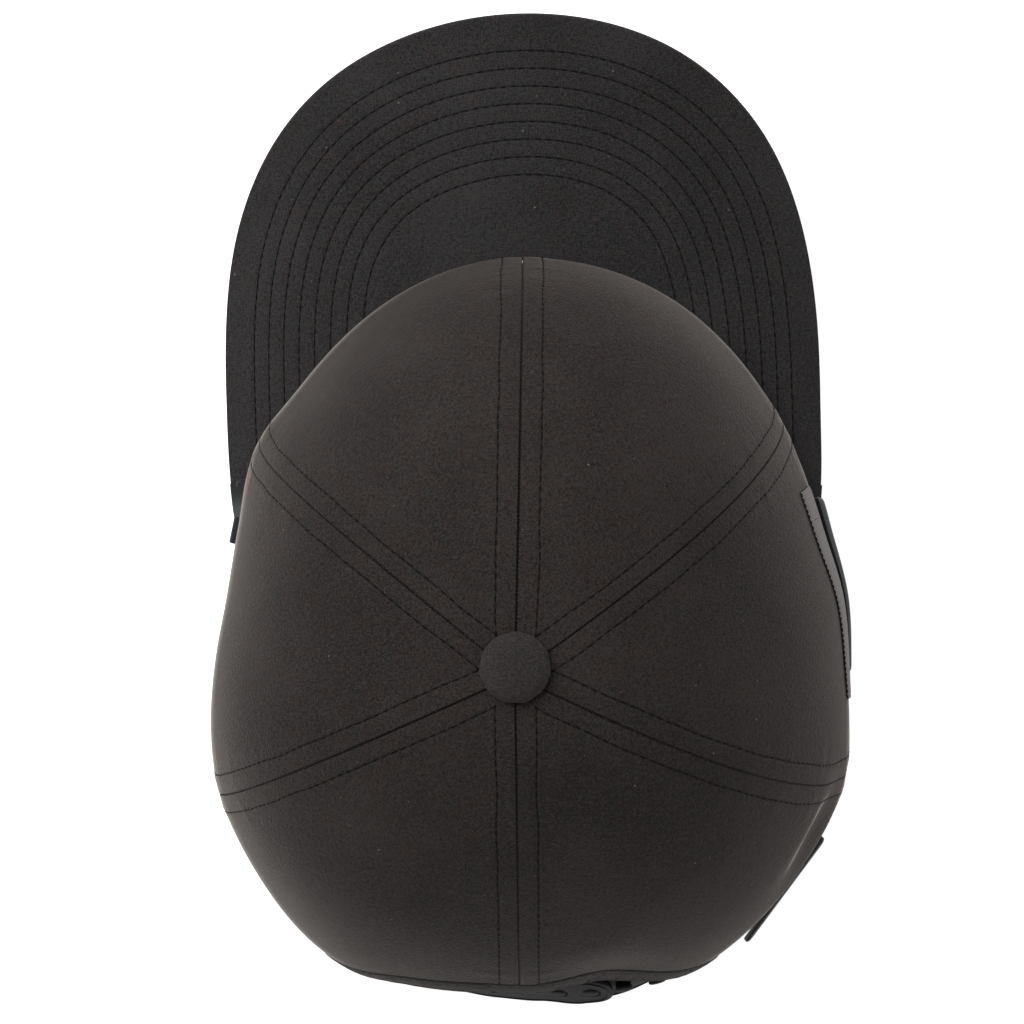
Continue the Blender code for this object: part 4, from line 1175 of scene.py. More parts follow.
normal = add(stitches, "GeometryNodeInputNamedAttribute", {"Name": "up"}, data_type="FLOAT_VECTOR")
ahead = add(stitches, "FunctionNodeAlignRotationToVector", {"Vector": tangent}, axis="X")
upright = add(stitches, "FunctionNodeAlignRotationToVector", {"Rotation": ahead, "Vector": normal},
              axis="Z", pivot_axis="X")
skew = add(stitches, "FunctionNodeRandomValue", {
    "Min": (0.0, 0.0, -STITCH_SKEW), "Max": (0.0, 0.0, STITCH_SKEW), "Seed": given.outputs["Seed"]},
    data_type="FLOAT_VECTOR")
twist = add(stitches, "FunctionNodeRotateRotation", {"Rotation": upright, "Rotate By": skew},
            rotation_space="LOCAL")
laid = add(stitches, "GeometryNodeInstanceOnPoints", {
    "Points": spread, "Instance": stitch, "Rotation": twist})
real = add(stitches, "GeometryNodeRealizeInstances", {"Geometry": laid})
smooth = add(stitches, "GeometryNodeSetShadeSmooth", {"Geometry": real})
thread = add(stitches, "GeometryNodeSetMaterial", {"Geometry": smooth, "Material": given.outputs["Material"]})
add(stitches, "NodeGroupOutput", [thread])
print("stitch tree:", len(stitches.nodes), "nodes")

# %% Sewing along guide lines


def sew(name, lines, slot, pitch=STITCH_PITCH, length=STITCH_LENGTH, width=THREAD_WIDTH, seed=1):
    """Sews along guide lines: a list of (points, normals), each rows x 3, in the pattern frame."""
    edges = []
    first = 0
    for points, _ in lines:
        edges += [(first + k, first + k + 1) for k in range(len(points) - 1)]
        first += len(points)
    sewn = grow(stitches, name, np.concatenate([line[0] for line in lines]), edges,
                np.concatenate([line[1] for line in lines]),
                {"Pitch": pitch, "Length": length, "Thread": width, "Seed": seed, "Material": THREAD})
    finish_piece(name, sewn, THREAD, slot)


def wall_line(bearing, height, outward):
    """Guide line on the crown's wall: its places and the ways out of the wall there."""
    return wall_point(bearing, height, outward), dome_normal(bearing, turn_at(bearing, height))


# %% [markdown]
# ## Topstitching on the crown
#
# Two rows follow every seam, 5.4 mm to each side, from the foot up to the button.

# %% Rows beside the six seams
BUTTON_CLEAR = 8.4 * MM
TABLE_CLEAR = 0.8 * MM
TOPSTITCH_TOP = 0.06


def topstitch_line(panel, from_last, rows=160):
    """Guide line on one panel at the stitches' distance from one of its seams."""
    turn = np.linspace(panel.foot_turn[-1 if from_last else 0] - FOOT_CLEAR, TOPSTITCH_TOP, rows)
    stray = stitch_wander(meridian_length(turn), panel.seed + (1.0 if from_last else 0.0))
    share = (STITCH_OFFSET + stray) / panel.width(turn)
    keep = share < 0.5
    turn, share = turn[keep], share[keep]
    share = 1.0 - share if from_last else share
    bearing = panel.place(share, turn)
    points = off_crown(bearing, turn, panel.relief(share, turn, meridian_length(turn)))
    clear = (np.hypot(points[:, 0] - BUTTON_X, points[:, 1]) > BUTTON_CLEAR) & (points[:, 2] > TABLE_CLEAR)
    return points[clear], dome_normal(bearing, turn)[clear]


sew("crown_topstitching", [topstitch_line(panel, side) for panel in PANELS for side in (False, True)],
    "crown_cloth")

# %% [markdown]
# ## Stitch rows on the brim
#
# Each row is the outer edge moved inward by a fixed distance on the flat sheet, cut off where it
# runs under the crown. The needle goes right through the board, so the rows show below too.

# %% Eight rows, above and below
CROWN_CLEAR = 0.7 * MM
ROW_SLACK = 0.05 * MM


def inside_crown(flat):
    """True where a flat place on the brim lies under the crown."""
    x = BRIM_ARCH_RADIUS * np.sin(flat[..., 0] / BRIM_ARCH_RADIUS)
    bearing = np.degrees(np.arctan2(flat[..., 1], x - BUTTON_X))
    seat = brim_seat(bearing, 0.0, GAP)
    reach = np.hypot(seat[..., 0] - BUTTON_X, seat[..., 1])
    return np.hypot(x - BUTTON_X, flat[..., 1]) < reach + CROWN_CLEAR


def brim_row(number):
    """Flat guide line of one row."""
    way = unit(np.gradient(EDGE_LINE, axis=0))
    inward = np.stack([way[:, 1], -way[:, 0]], axis=1)
    if inward[len(inward) // 2, 1] < 0.0:
        inward = -inward
    inset = FIRST_ROW + ROW_PITCH * number
    line = EDGE_LINE + inward * inset
    keep = (edge_distance(line) > inset - ROW_SLACK) & ~inside_crown(line)
    return line[keep & (line[:, 1] < brim_end_y(line[:, 0]))]


brim_rows = [brim_row(number) for number in range(ROW_COUNT)]
for name, depth, up, seed in (("brim_stitch_rows", ROW_DEPTH, 1.0, 2),
                              ("brim_stitch_rows_below", BRIM_THICKNESS - ROW_DEPTH, -1.0, 3)):
    guides = [(bend_brim(row, depth), up * unit(bend_brim(row, 0.0) - bend_brim(row, 1.0 * MM)))
              for row in brim_rows]
    sew(name, guides, "brim_cloth", seed=seed)

# %% [markdown]
# ## Tape over the ends of the brim's seam
#
# Where the brim's corners end, the seam's tape runs on along the crown's foot as a smooth strip.
# On the wearer's right it stands higher at its front end, where it shows dark beside the label.

# %% Two tapes
CUSHION = 0.15 * MM
WELT_COLUMNS = 60
WELTS = [
    {"node": "welt_right", "side": -1.0, "end_y": 5.0 * MM, "thickness": (2.6, 0.9), "height": (19.0, 9.0)},
    {"node": "welt_left", "side": 1.0, "end_y": -31.0 * MM, "thickness": (1.7, 1.9), "height": (10.0, 10.0)},
]


def strip_on_crown(name, bearings, low, high, rows, thickness, material, slot, node):
    """A flat strip lying on the crown's wall between two heights, its upper face slightly cushioned."""
    height = low + (high - low) * np.linspace(0.0, 1.0, rows)[:, None] + 0.0 * bearings
    bearing = bearings + 0.0 * height
    row = np.linspace(-1.0, 1.0, rows)[:, None]
    column = np.linspace(-1.0, 1.0, len(bearings))[None, :]
    soft = np.minimum(1.0 - row ** 8, 1.0 - column ** 40)
    outer = wall_point(bearing, height, GAP + thickness * (0.55 + 0.45 * soft) + CUSHION * (soft - 1.0))
    inner = wall_point(bearing, height, GAP)
    flat = np.stack([np.broadcast_to(lengths_along(outer[0]), bearing.shape), height], axis=-1)
    wall(name, outer, inner, flat, material, slot, node)


for row in WELTS:
    front_y = float(brim_end_y(row["side"])) + 0.2 * GAP
    ends = [bearing_at_y(y, row["side"]) for y in (front_y, row["end_y"])]
    strip_on_crown(row["node"] + "_tape", np.linspace(*ends, WELT_COLUMNS), 0.0,
                   np.linspace(*row["height"], WELT_COLUMNS) * MM, 13,
                   np.linspace(*row["thickness"], WELT_COLUMNS) * MM, TAPE, "welt_tape", row["node"])

# %% [markdown]
# ## Tape round the brim's corners
#
# The cloth stops a little before each corner of the brim, and the same smooth tape is folded round
# the corner and runs on into the strip along the foot. So it starts on the brim, follows its top
# side and turns down over its edge.

# %% A folded tape on each corner
CORNER_TAPES = [
    # The left tape's finish has a painted highlight where it turns down
    {"name": "corner_tape_left", "side": 1.0, "cover": 10.6 * MM, "slant": 2.4 * MM, "material": CORNER_TAPE_PAINTED_HIGHLIGHT},
    {"name": "corner_tape_right", "side": -1.0, "cover": 3.8 * MM, "slant": 0.4 * MM, "material": TAPE},
]
CORNER_BRIDGE = 1.6 * MM
CORNER_INSET = 0.60 * MM
CORNER_SHARE = 0.14

# How far the fold stands beyond the brim's edge and how deep it lies, on its two sides, in mm
FOLD_OUTSIDE = [(0.00, -0.24), (0.03, -0.10), (0.06, 0.20), (0.08, 1.00), (0.08, 2.60)]
FOLD_INSIDE = [(0.00, -0.04), (0.00, 0.05), (0.01, 0.30), (0.02, 1.00), (0.02, 2.60)]


def corner_tape(row, plain=6, rows=22):
    """Tape over the last stretch of the brim, folded down over its edge."""
    side = row["side"]
    share = np.linspace(0.0, CORNER_SHARE, 60)
    share = share if side > 0.0 else 1.0 - share
    edge, foot = brim_edge(share), brim_foot(share)
    across = np.concatenate([np.arange(plain) / plain, np.ones(len(FOLD_OUTSIDE))])[None, :]
    end = float(brim_end_y(side))
    front = end - row["cover"] + row["slant"] * (across - 0.5)
    y = end + CORNER_BRIDGE + (front - end - CORNER_BRIDGE) * np.linspace(0.0, 1.0, rows)[:, None]
    edge_x = np.interp(-y, -edge[:, 1], edge[:, 0])
    foot_x = np.interp(-y, -foot[:, 1], foot[:, 0])
    skins = []
    for fold in (FOLD_OUTSIDE, FOLD_INSIDE):
        beyond, depth = np.array([fold[0]] * plain + fold).T * MM
        x = foot_x + (edge_x - side * CORNER_INSET - foot_x) * across + side * beyond
        flat = np.stack([x, y], axis=-1)
        skins.append(bend_brim(flat, depth))
    wall(row["name"], *skins, flat, row["material"], "welt_tape")


for row in CORNER_TAPES:
    corner_tape(row)

# %% [markdown]
# ## The bare label on the right side
#
# A strip of satin, whose grey is partly its own tone and partly painted sheen, sewn down in black
# along its very edges, with one short tack near its front end.

# %% Label and its stitches
PATCH_LENGTH = 60.0 * MM
PATCH_FRONT_Y = -47.8 * MM
PATCH_COLUMNS = 90
PATCH_THICKNESS = 0.5 * MM
PATCH_HEM = -0.22 * MM
PATCH_STITCH_PITCH = 1.6 * MM
PATCH_STITCH = 1.1 * MM
PATCH_THREAD = 0.30 * MM
TACK_BEHIND_FRONT = 8.5 * MM
TACK_LOW, TACK_HIGH = 31.5 * MM, 34.5 * MM

# Places from the label's front end to its rear end, and the height of its two long edges there, in mm
PATCH_PLACES = [0.00, 0.33, 0.66, 1.00]
PATCH_EDGES = {"low": [21.0, 18.0, 14.5, 13.0], "high": [41.8, 37.5, 30.5, 24.5]}


def patch_edge(place, key):
    """Height of one of the label's long edges."""
    return np.interp(place, PATCH_PLACES, PATCH_EDGES[key]) * MM


patch_ends = [bearing_at_y(y, -1.0) for y in (PATCH_FRONT_Y, PATCH_FRONT_Y + PATCH_LENGTH)]
patch_places = np.linspace(0.0, 1.0, PATCH_COLUMNS)
strip_on_crown("side_patch_satin", np.linspace(*patch_ends, PATCH_COLUMNS), patch_edge(patch_places, "low"),
               patch_edge(patch_places, "high"), 30, PATCH_THICKNESS, SATIN_PAINTED_SHEEN, "patch_satin", "side_patch")
sewn_places = np.linspace(0.01, 0.99, 120)
sewn_bearings = patch_ends[0] + (patch_ends[1] - patch_ends[0]) * sewn_places
patch_lines = [wall_line(sewn_bearings, patch_edge(sewn_places, key) + inset, GAP + 0.4 * PATCH_THICKNESS)
               for key, inset in (("high", -PATCH_HEM), ("low", PATCH_HEM))]
tack_bearing = np.full(8, bearing_at_y(PATCH_FRONT_Y + TACK_BEHIND_FRONT, -1.0))
patch_lines.append(wall_line(tack_bearing, np.linspace(TACK_LOW, TACK_HIGH, 8), GAP + PATCH_THICKNESS))
sew("side_patch_stitching", patch_lines, "patch_satin", pitch=PATCH_STITCH_PITCH, length=PATCH_STITCH,
    width=PATCH_THREAD, seed=4)

# %% [markdown]
# ## The stiff tab at the back right
#
# A flat, pressed piece of cloth that stands off the crown and touches it only in its middle.

# %% Tab with rounded corners
TAB_LENGTH = 36.3 * MM
TAB_HEIGHT = 9.0 * MM
TAB_THICKNESS = 1.2 * MM
TAB_LOW = 2.0 * MM
TAB_BEARING = 147.0
TAB_SLIDE = 14.1 * MM
TAB_ROUND_SHARE = 0.03

seat = wall_point(TAB_BEARING, TAB_LOW, GAP)
way = wall_point(TAB_BEARING + 2.0, TAB_LOW, 0.0) - wall_point(TAB_BEARING - 2.0, TAB_LOW, 0.0)
way = unit(way * (1.0, 1.0, 0.0))
outward = np.array([way[1], -way[0], 0.0])
across = np.linspace(-0.5, 0.5, 40)[None, :]
level = np.linspace(-0.5, 0.5, 18)[:, None]
corner = np.minimum(1.0, (1.0 - (2.0 * np.abs(level)) ** 10) ** 0.1)
tab_along = TAB_LENGTH * across * (1.0 - TAB_ROUND_SHARE * (1.0 - corner)) - TAB_SLIDE
tab_height = TAB_LOW + TAB_HEIGHT * (0.5 + level) + 0.0 * tab_along
tab_inner = np.stack([seat[0] + way[0] * tab_along, seat[1] + way[1] * tab_along, tab_height], axis=-1)
soft = np.minimum(1.0 - (2.0 * np.abs(level)) ** 12, 1.0 - (2.0 * np.abs(across)) ** 24)
tab_outer = tab_inner + outward * (TAB_THICKNESS * (0.55 + 0.45 * soft))[..., None]
wall("rear_tab_cloth", tab_outer, tab_inner, np.stack([tab_along, tab_height], axis=-1), CARD,
     "tab_board", "rear_tab")

# %% [markdown]
# ## The sweatband
#
# A band of soft cloth sewn inside the foot and turned up. It shows only from below and through the
# back opening, with one row of stitches near its lower edge and one near its folded top.

# %% Band and its stitches
SWEATBAND_HEIGHT = 32.0 * MM
SWEATBAND_THICKNESS = 1.2 * MM
SWEATBAND_GAP = 0.8 * MM
SWEATBAND_SOFT = 0.5 * MM
SWEATBAND_SOFT_SHARE = 0.06
SWEATBAND_ROW = 2.5 * MM
SWEATBAND_RIPPLE = 0.12 * MM
STRAP_TAB = 10.0 * MM
BAND_OUTWARD = -CLOTH - SWEATBAND_GAP

band_arc = OPENING_HALF_ARC + STRAP_TAB + GAP
band_bearings = np.linspace(arc_bearing(band_arc), arc_bearing(-band_arc) - 360.0, 300)
band_ripple = SWEATBAND_RIPPLE * uneven(band_bearings * 1.5 * MM, 7.0, shortest=6.0 * MM)
band_levels = np.linspace(0.0, SWEATBAND_HEIGHT, 17)[:, None]
band_height = foot_height(band_bearings) + band_levels
from_edge = 1.0 - np.abs(2.0 * band_levels / SWEATBAND_HEIGHT - 1.0)
band_round = SWEATBAND_SOFT * round_off(1.0 - from_edge / SWEATBAND_SOFT_SHARE)
band_thickness = SWEATBAND_THICKNESS - band_round + band_ripple
band_outer = wall_point(band_bearings, band_height, BAND_OUTWARD)
band_inner = wall_point(band_bearings, band_height, BAND_OUTWARD - band_thickness)
band_map = np.stack(np.broadcast_arrays(lengths_along(band_outer[0]), band_levels), axis=-1)
wall("sweatband_cloth", band_inner, band_outer, band_map, BAND_CLOTH, "sweatband_cloth", "sweatband")
band_lines = []
for level in (SWEATBAND_ROW, SWEATBAND_HEIGHT - SWEATBAND_ROW):
    points, outs = wall_line(band_bearings, foot_height(band_bearings) + level,
                             BAND_OUTWARD - SWEATBAND_THICKNESS - band_ripple)
    band_lines.append((points, -outs))
sew("sweatband_stitching", band_lines, "sweatband_cloth", seed=5)

# %% [markdown]
# ## The bound edge of the back opening
#
# The arch is finished with a folded strip of the crown's cloth. Bent round a curve, a straight
# strip gathers on its inner edge, so it has small waves there, and two rows of stitches hold it.

# %% Binding and its stitches
BINDING_THICKNESS = 2.0 * MM
BINDING_PROUD = 0.4 * MM
BINDING_ROUND = 1.0 * MM
BINDING_ROWS = (1.9 * MM, 7.0 * MM)
BINDING_DIP, BINDING_DIP_WIDTH = 0.15 * MM, 0.5 * MM
BINDING_GATHER, GATHER_LENGTH, GATHER_RADIUS = 0.16 * MM, 4.0 * MM, 48.0 * MM
BINDING_DROP, DROP_START, DROP_LENGTH = 0.35 * MM, 7.9 * MM, 0.8 * MM
BINDING_STITCH_LIFT = BINDING_PROUD - 0.27 * MM
BINDING_STITCH_INSET = 0.04
OPENING_MAP_RADIUS = 60.0 * MM


def opening_edge(turn, widening):
    """Bearing and height on the opening's edge, turn going from 0 at the left foot over the top to pi."""
    arc = (OPENING_HALF_ARC + widening) * np.cos(turn)
    return arc_bearing(arc), (OPENING_HEIGHT + widening) * np.sin(turn)


round_widths = BINDING_ROUND * (1.0 - np.sin(np.linspace(QUARTER, 0.0, 6)))
hem_widths = np.concatenate([round_widths, np.linspace(1.6, 8.7, 12) * MM])
turn, width = np.meshgrid(np.linspace(0.0, math.pi, 200), hem_widths)
fold = BINDING_ROUND * round_off(1.0 - width / BINDING_ROUND)
drop = BINDING_DROP * smooth_step((width - DROP_START) / DROP_LENGTH)
gathers = (BINDING_GATHER * np.sin(math.pi * np.clip(width / BINDING_WIDTH, 0.0, 1.0))
           * uneven(turn * GATHER_RADIUS, 9.0, GATHER_LENGTH))
dip = BINDING_DIP * sum(np.exp(-((width - row) / BINDING_DIP_WIDTH) ** 2) for row in BINDING_ROWS)
hem_outer = wall_point(*opening_edge(turn, width), BINDING_PROUD - fold - drop + gathers - dip)
hem_inner = wall_point(*opening_edge(turn, width), BINDING_PROUD - BINDING_THICKNESS + fold)
wall("opening_binding_cloth", hem_outer, hem_inner, np.stack([turn * OPENING_MAP_RADIUS, width], axis=-1),
     HEM_CLOTH, "crown_cloth", "opening_binding")
hem_turns = np.linspace(BINDING_STITCH_INSET, math.pi - BINDING_STITCH_INSET, 240)
hem_lines = [wall_line(*opening_edge(hem_turns, row), BINDING_STITCH_LIFT) for row in BINDING_ROWS]
sew("opening_stitching", hem_lines, "crown_cloth", seed=6)

# %% [markdown]
# ## The folded edge behind the binding
#
# The panels' raw edge is caught inside the binding. A thin curved strip stands for the part that
# lies behind both, so no light comes through between them.

# %% Strip behind the binding's outer edge
BEHIND_TOP = -CLOTH - 0.04 * MM
BEHIND_THICKNESS = 0.20 * MM
BEHIND_FROM, BEHIND_TO = 6.5 * MM, 12.0 * MM

turn, width = np.meshgrid(np.linspace(0.0, math.pi, 160), np.linspace(BEHIND_FROM, BEHIND_TO, 6))
behind_outer = wall_point(*opening_edge(turn, width), BEHIND_TOP)
behind_inner = wall_point(*opening_edge(turn, width), BEHIND_TOP - BEHIND_THICKNESS)
wall("opening_allowance", behind_outer, behind_inner, np.stack([turn * OPENING_MAP_RADIUS, width], axis=-1),
     PLAIN_CLOTH, "crown_cloth")

# %% [markdown]
# ## The snap strap
#
# Two moulded halves: one with a row of holes, one with a row of pegs that press through them.
# Each is made as it leaves the mould, flat: a curve with round holes, given its thickness and a
# small rounded edge. Then it is cut into short lengths and bent round the back of the cap.

# %% Where the strap lies
STRAP_HEIGHT = 19.0 * MM
STRAP_THICKNESS = 1.4 * MM
STRAP_FLOOR_GAP = 1.0 * MM
STRAP_MIDDLE = STRAP_FLOOR_GAP + STRAP_HEIGHT / 2.0
STRAP_BOW = 3.0 * MM
STRAP_LEAN = 6.8 * MM
STRAP_END_RADIUS = 8.0 * MM
STRAP_END_POWER = 2.6
SNAP_PITCH = 9.4 * MM
SNAP_PEGS = 7
SNAP_HOLE = 5.2 * MM
FIRST_PEG = -39.4 * MM
OUTER_END_MARGIN = 6.0 * MM
INNER_END_MARGIN = 4.7 * MM
PEG_HEIGHT = STRAP_THICKNESS * 1.5 + GAP + 0.4 * MM
PEG_ARCS = [FIRST_PEG + SNAP_PITCH * k for k in range(SNAP_PEGS)]
HOLE_ARCS = [FIRST_PEG + SNAP_PITCH * k for k in range(2, SNAP_PEGS + 2)]
STRAP_START = OPENING_HALF_ARC + STRAP_TAB
OUTER_END = HOLE_ARCS[0] - OUTER_END_MARGIN
INNER_END = PEG_ARCS[-1] + INNER_END_MARGIN

# Place along the strap as a share of the opening, and how far it bows and leans there
STRAP_LIE = [
    {"place": 0.88, "bow": 0.0, "lean": 0.0},
    {"place": 0.36, "bow": -0.97, "lean": 0.53},
    {"place": 0.12, "bow": -1.05, "lean": 0.74},
    {"place": -0.12, "bow": -1.0, "lean": 0.88},
    {"place": -0.36, "bow": -0.60, "lean": 1.0},
    {"place": -0.52, "bow": -0.33, "lean": 1.0},
    {"place": -0.90, "bow": 0.0, "lean": 0.0},
]


def strap_lie(place, key):
    """Smooth value of one column of the table at places along the strap."""
    value = np.zeros_like(place)
    for here, after in zip(STRAP_LIE, STRAP_LIE[1:]):
        share = smooth_step((here["place"] - place) / (here["place"] - after["place"]))
        inside = (place <= here["place"]) & (place >= after["place"])
        value = np.where(inside, here[key] + (after[key] - here[key]) * share, value)
    return value


def strap_offset(arc, layer):
    """How far the middle of a strap half lies off the crown's outer surface."""
    tucked = -(BINDING_THICKNESS - BINDING_PROUD + GAP + STRAP_THICKNESS / 2.0)
    apart = (STRAP_THICKNESS + GAP) / 2.0
    place = arc / OPENING_HALF_ARC
    left, right = STRAP_LIE[0]["place"], STRAP_LIE[-1]["place"]
    across = np.clip((left - place) / (left - right), 0.0, 1.0)
    middle = tucked - apart + 2.0 * apart * across + strap_lie(place, "bow") * STRAP_BOW
    return middle + (apart if layer == "outer" else -apart)


def bend_strap(points, layer):
    """Flat places (arc, height, thickness) carried onto the back of the cap."""
    arc, height, depth = points[..., 0], points[..., 1], points[..., 2]
    level = 2.0 * (height - STRAP_FLOOR_GAP) / STRAP_HEIGHT - 1.0
    lean = strap_lie(arc / OPENING_HALF_ARC, "lean") * STRAP_LEAN * level / 2.0
    return wall_point(arc_bearing(arc), height, strap_offset(arc, layer) + depth - lean)


def strap_tip(end, side, inset, count):
    """Line round a half's free end, top to bottom, so far inside its edge."""
    level = np.cos(np.linspace(0.0, math.pi, count))
    power = np.maximum(0.0, 1.0 - np.abs(level) ** STRAP_END_POWER)
    rounding = STRAP_END_RADIUS * (1.0 - np.sqrt(power))
    height = STRAP_MIDDLE + (STRAP_HEIGHT / 2.0 - inset) * level
    return np.stack([end + side * (rounding + inset), height], axis=1)


print("halves overlap by", round((INNER_END - OUTER_END) / MM, 1), "mm")

# %% One strap half, moulded flat and bent
STRAP_EDGE = 0.3 * MM
STRAP_CUT = 2.0 * MM
STRAP_SHARP = 28.0


def flat_strap(name, start, end, holes):
    """A filled curve: square at the sewn end, round at the free end, with holes."""
    side = 1.0 if start > end else -1.0
    tip = strap_tip(end, side, STRAP_EDGE, 17)
    square = [(start - side * STRAP_EDGE, tip[-1, 1]), (start - side * STRAP_EDGE, tip[0, 1])]
    angle = np.arange(28) * math.tau / 28
    circle = (SNAP_HOLE / 2.0 + STRAP_EDGE) * np.stack([np.cos(angle), np.sin(angle)], axis=1)
    data = bpy.data.curves.new(name, "CURVE")
    data.dimensions = "2D"
    data.fill_mode = "BOTH"
    data.extrude = STRAP_THICKNESS / 2.0 - STRAP_EDGE
    data.bevel_depth = STRAP_EDGE
    data.bevel_resolution = 2
    for loop in [np.concatenate([square, tip])] + [circle + (arc, STRAP_MIDDLE) for arc in holes]:
        spline = data.splines.new("POLY")
        spline.points.add(len(loop) - 1)
        for point, (x, y) in zip(spline.points, loop):
            point.co = (x, y, 0.0, 1.0)
        spline.use_cyclic_u = True
    return plain_mesh(bpy.data.objects.new(name, data), name)


def strap_half(name, layer, start, end, holes, node):
    """The flat half cut into short lengths and bent."""
    mesh = flat_strap(name, start, end, holes)
    work = bmesh.new()
    work.from_mesh(mesh)
    bmesh.ops.remove_doubles(work, verts=work.verts, dist=MERGE)
    for cut in np.arange(min(start, end) + STRAP_CUT, max(start, end), STRAP_CUT):
        bmesh.ops.bisect_plane(work, geom=work.verts[:] + work.edges[:] + work.faces[:],
                               plane_co=(cut, 0, 0), plane_no=(1, 0, 0))
    flat = np.array([vert.co[:] for vert in work.verts])
    for vert, place in zip(work.verts, bend_strap(flat, layer) + HOME):
        vert.co = place
    work.to_mesh(mesh)
    work.free()
    close_mesh(mesh, STRAP_SHARP, merge=None)
    finish_piece(name, mesh, PLASTIC, "strap_plastic", node)


strap_half("snap_strap_outer_half", "outer", STRAP_START, OUTER_END, HOLE_ARCS, "snap_strap_outer")
strap_half("snap_strap_inner_half", "inner", -STRAP_START, INNER_END, [], "snap_strap_inner")

# %% [markdown]
# ## The pegs
#
# A peg is a short stem with a slightly wider, rounded head that fills its hole. One is turned as a
# lathe would turn it, and Geometry Nodes sets a copy on each point of the strap, upright on its
# surface.

# %% One peg, set seven times
PEG_SHARP = 40.0

# Radius and height of each ring from the peg's foot up, in mm, for a peg 2.6 mm high
PEG_PROFILE = np.array([(2.2, -0.3), (2.2, 1.5), (2.45, 1.65), (2.5, 2.0), (2.3, 2.3), (1.7, 2.5),
                        (0.9, 2.58), (0.001, 2.6)])

peg_tree, given = new_tree("pegs_on_points", "Pegs", [
    ("Points", "NodeSocketGeometry", None),
    ("Peg", "NodeSocketObject", None),
    ("Material", "NodeSocketMaterial", None),
])
up_way = add(peg_tree, "GeometryNodeInputNamedAttribute", {"Name": "up"}, data_type="FLOAT_VECTOR")
stand = add(peg_tree, "FunctionNodeAlignRotationToVector", {"Vector": up_way}, axis="Z")
shape = add(peg_tree, "GeometryNodeObjectInfo", {"Object": given.outputs["Peg"]}).outputs["Geometry"]
set_pegs = add(peg_tree, "GeometryNodeInstanceOnPoints", {
    "Points": given.outputs["Points"], "Instance": shape, "Rotation": stand})
real_pegs = add(peg_tree, "GeometryNodeRealizeInstances", {"Geometry": set_pegs})
dressed = add(peg_tree, "GeometryNodeSetMaterial", {
    "Geometry": real_pegs, "Material": given.outputs["Material"]})
add(peg_tree, "NodeGroupOutput", [dressed])

peg_size = np.array([MM, PEG_HEIGHT / PEG_PROFILE[-1, 1]])
peg_mesh = ring_mesh("peg", turned(PEG_PROFILE * peg_size, 28), PEG_SHARP, 0.005 * MM)
one_peg = bpy.data.objects.new("one_peg", peg_mesh)
bpy.context.scene.collection.objects.link(one_peg)
peg_flat = np.array([(arc, STRAP_MIDDLE, 0.0) for arc in PEG_ARCS])
peg_base = bend_strap(peg_flat, "inner")
peg_up = np.cross(bend_strap(peg_flat + (0.0, 1.0 * MM, 0.0), "inner") - peg_base,
                  bend_strap(peg_flat + (1.0 * MM, 0.0, 0.0), "inner") - peg_base)
pegs_made = grow(peg_tree, "snap_pegs", peg_base, [], peg_up, {"Peg": one_peg, "Material": PLASTIC})
bpy.data.objects.remove(one_peg)
finish_piece("snap_pegs", pegs_made, PLASTIC, "strap_plastic", "snap_strap_inner")

# %% [markdown]
# ## The strap's raised rim
#
# Each moulded half has a low bead along both long edges and round its free end, which keeps the
# thin plastic from curling. It is a tube along the outline, a little inside it, made flat and bent
# like the strap.

# %% A bead on both halves
BEAD_INSET = 1.5 * MM
BEAD_RADIUS = 0.32 * MM
ALL_SMOOTH = 180.0


def strap_bead(name, layer, start, end, sides=8):
    """Tube along three sides of a strap half: out along the top, round the end and back."""
    side = 1.0 if start > end else -1.0
    tip = strap_tip(end, side, BEAD_INSET, 41)
    straight = np.linspace(start - side * BEAD_INSET, tip[0, 0], 70)[:-1]
    upper = np.stack([straight, np.full(69, tip[0, 1])], axis=1)
    lower = np.stack([straight[::-1], np.full(69, tip[-1, 1])], axis=1)
    line = np.concatenate([upper, tip, lower])
    way = unit(np.gradient(line, axis=0))
    aside = np.stack([-way[:, 1], way[:, 0]], axis=1)
    angle = np.arange(sides) * math.tau / sides
    flat = np.empty((len(line), sides, 3))
    flat[..., :2] = line[:, None, :] + aside[:, None, :] * (BEAD_RADIUS * np.cos(angle))[None, :, None]
    flat[..., 2] = STRAP_THICKNESS / 2.0 + BEAD_RADIUS * np.sin(angle)
    finish_piece(name, ring_mesh(name, bend_strap(flat, layer) + HOME, ALL_SMOOTH), PLASTIC, "strap_plastic")


strap_bead("snap_strap_outer_bead", "outer", STRAP_START, OUTER_END)
strap_bead("snap_strap_inner_bead", "inner", -STRAP_START, INNER_END)

# %% [markdown]
# ## Loose fibres
#
# Black cotton always carries a few pale hairs. Each is a bent tube thinner than a thread. Some cling
# to the crown, and a tuft frays out where the brim's cloth ends under the tape at the left corner.

# %% Hairs from a fixed seed
HAIR_RADIUS = 0.03 * MM
HAIR_LIFT, HAIR_ARCH = 0.05 * MM, 0.12 * MM
HAIR_POINTS = 7
HAIR_BEND = 0.45
CROWN_HAIRS = 26
CROWN_HAIR_LOWEST = 1.35
CROWN_HAIR_LENGTHS = (0.8, 2.6)
CORNER_HAIRS = 9
CORNER_HAIR_LENGTHS = (0.7, 2.6)
chance = np.random.default_rng(20)


def hair(root, way, up, length):
    """Points of one bent hair lying on the cloth."""
    aside = np.cross(up, way)
    t = np.linspace(0.0, 1.0, HAIR_POINTS)[:, None]
    bend = chance.uniform(-HAIR_BEND, HAIR_BEND)
    arch = 4.0 * t * (1.0 - t)
    return root + length * (way * t + aside * bend * arch) + up * (HAIR_LIFT + HAIR_ARCH * arch)


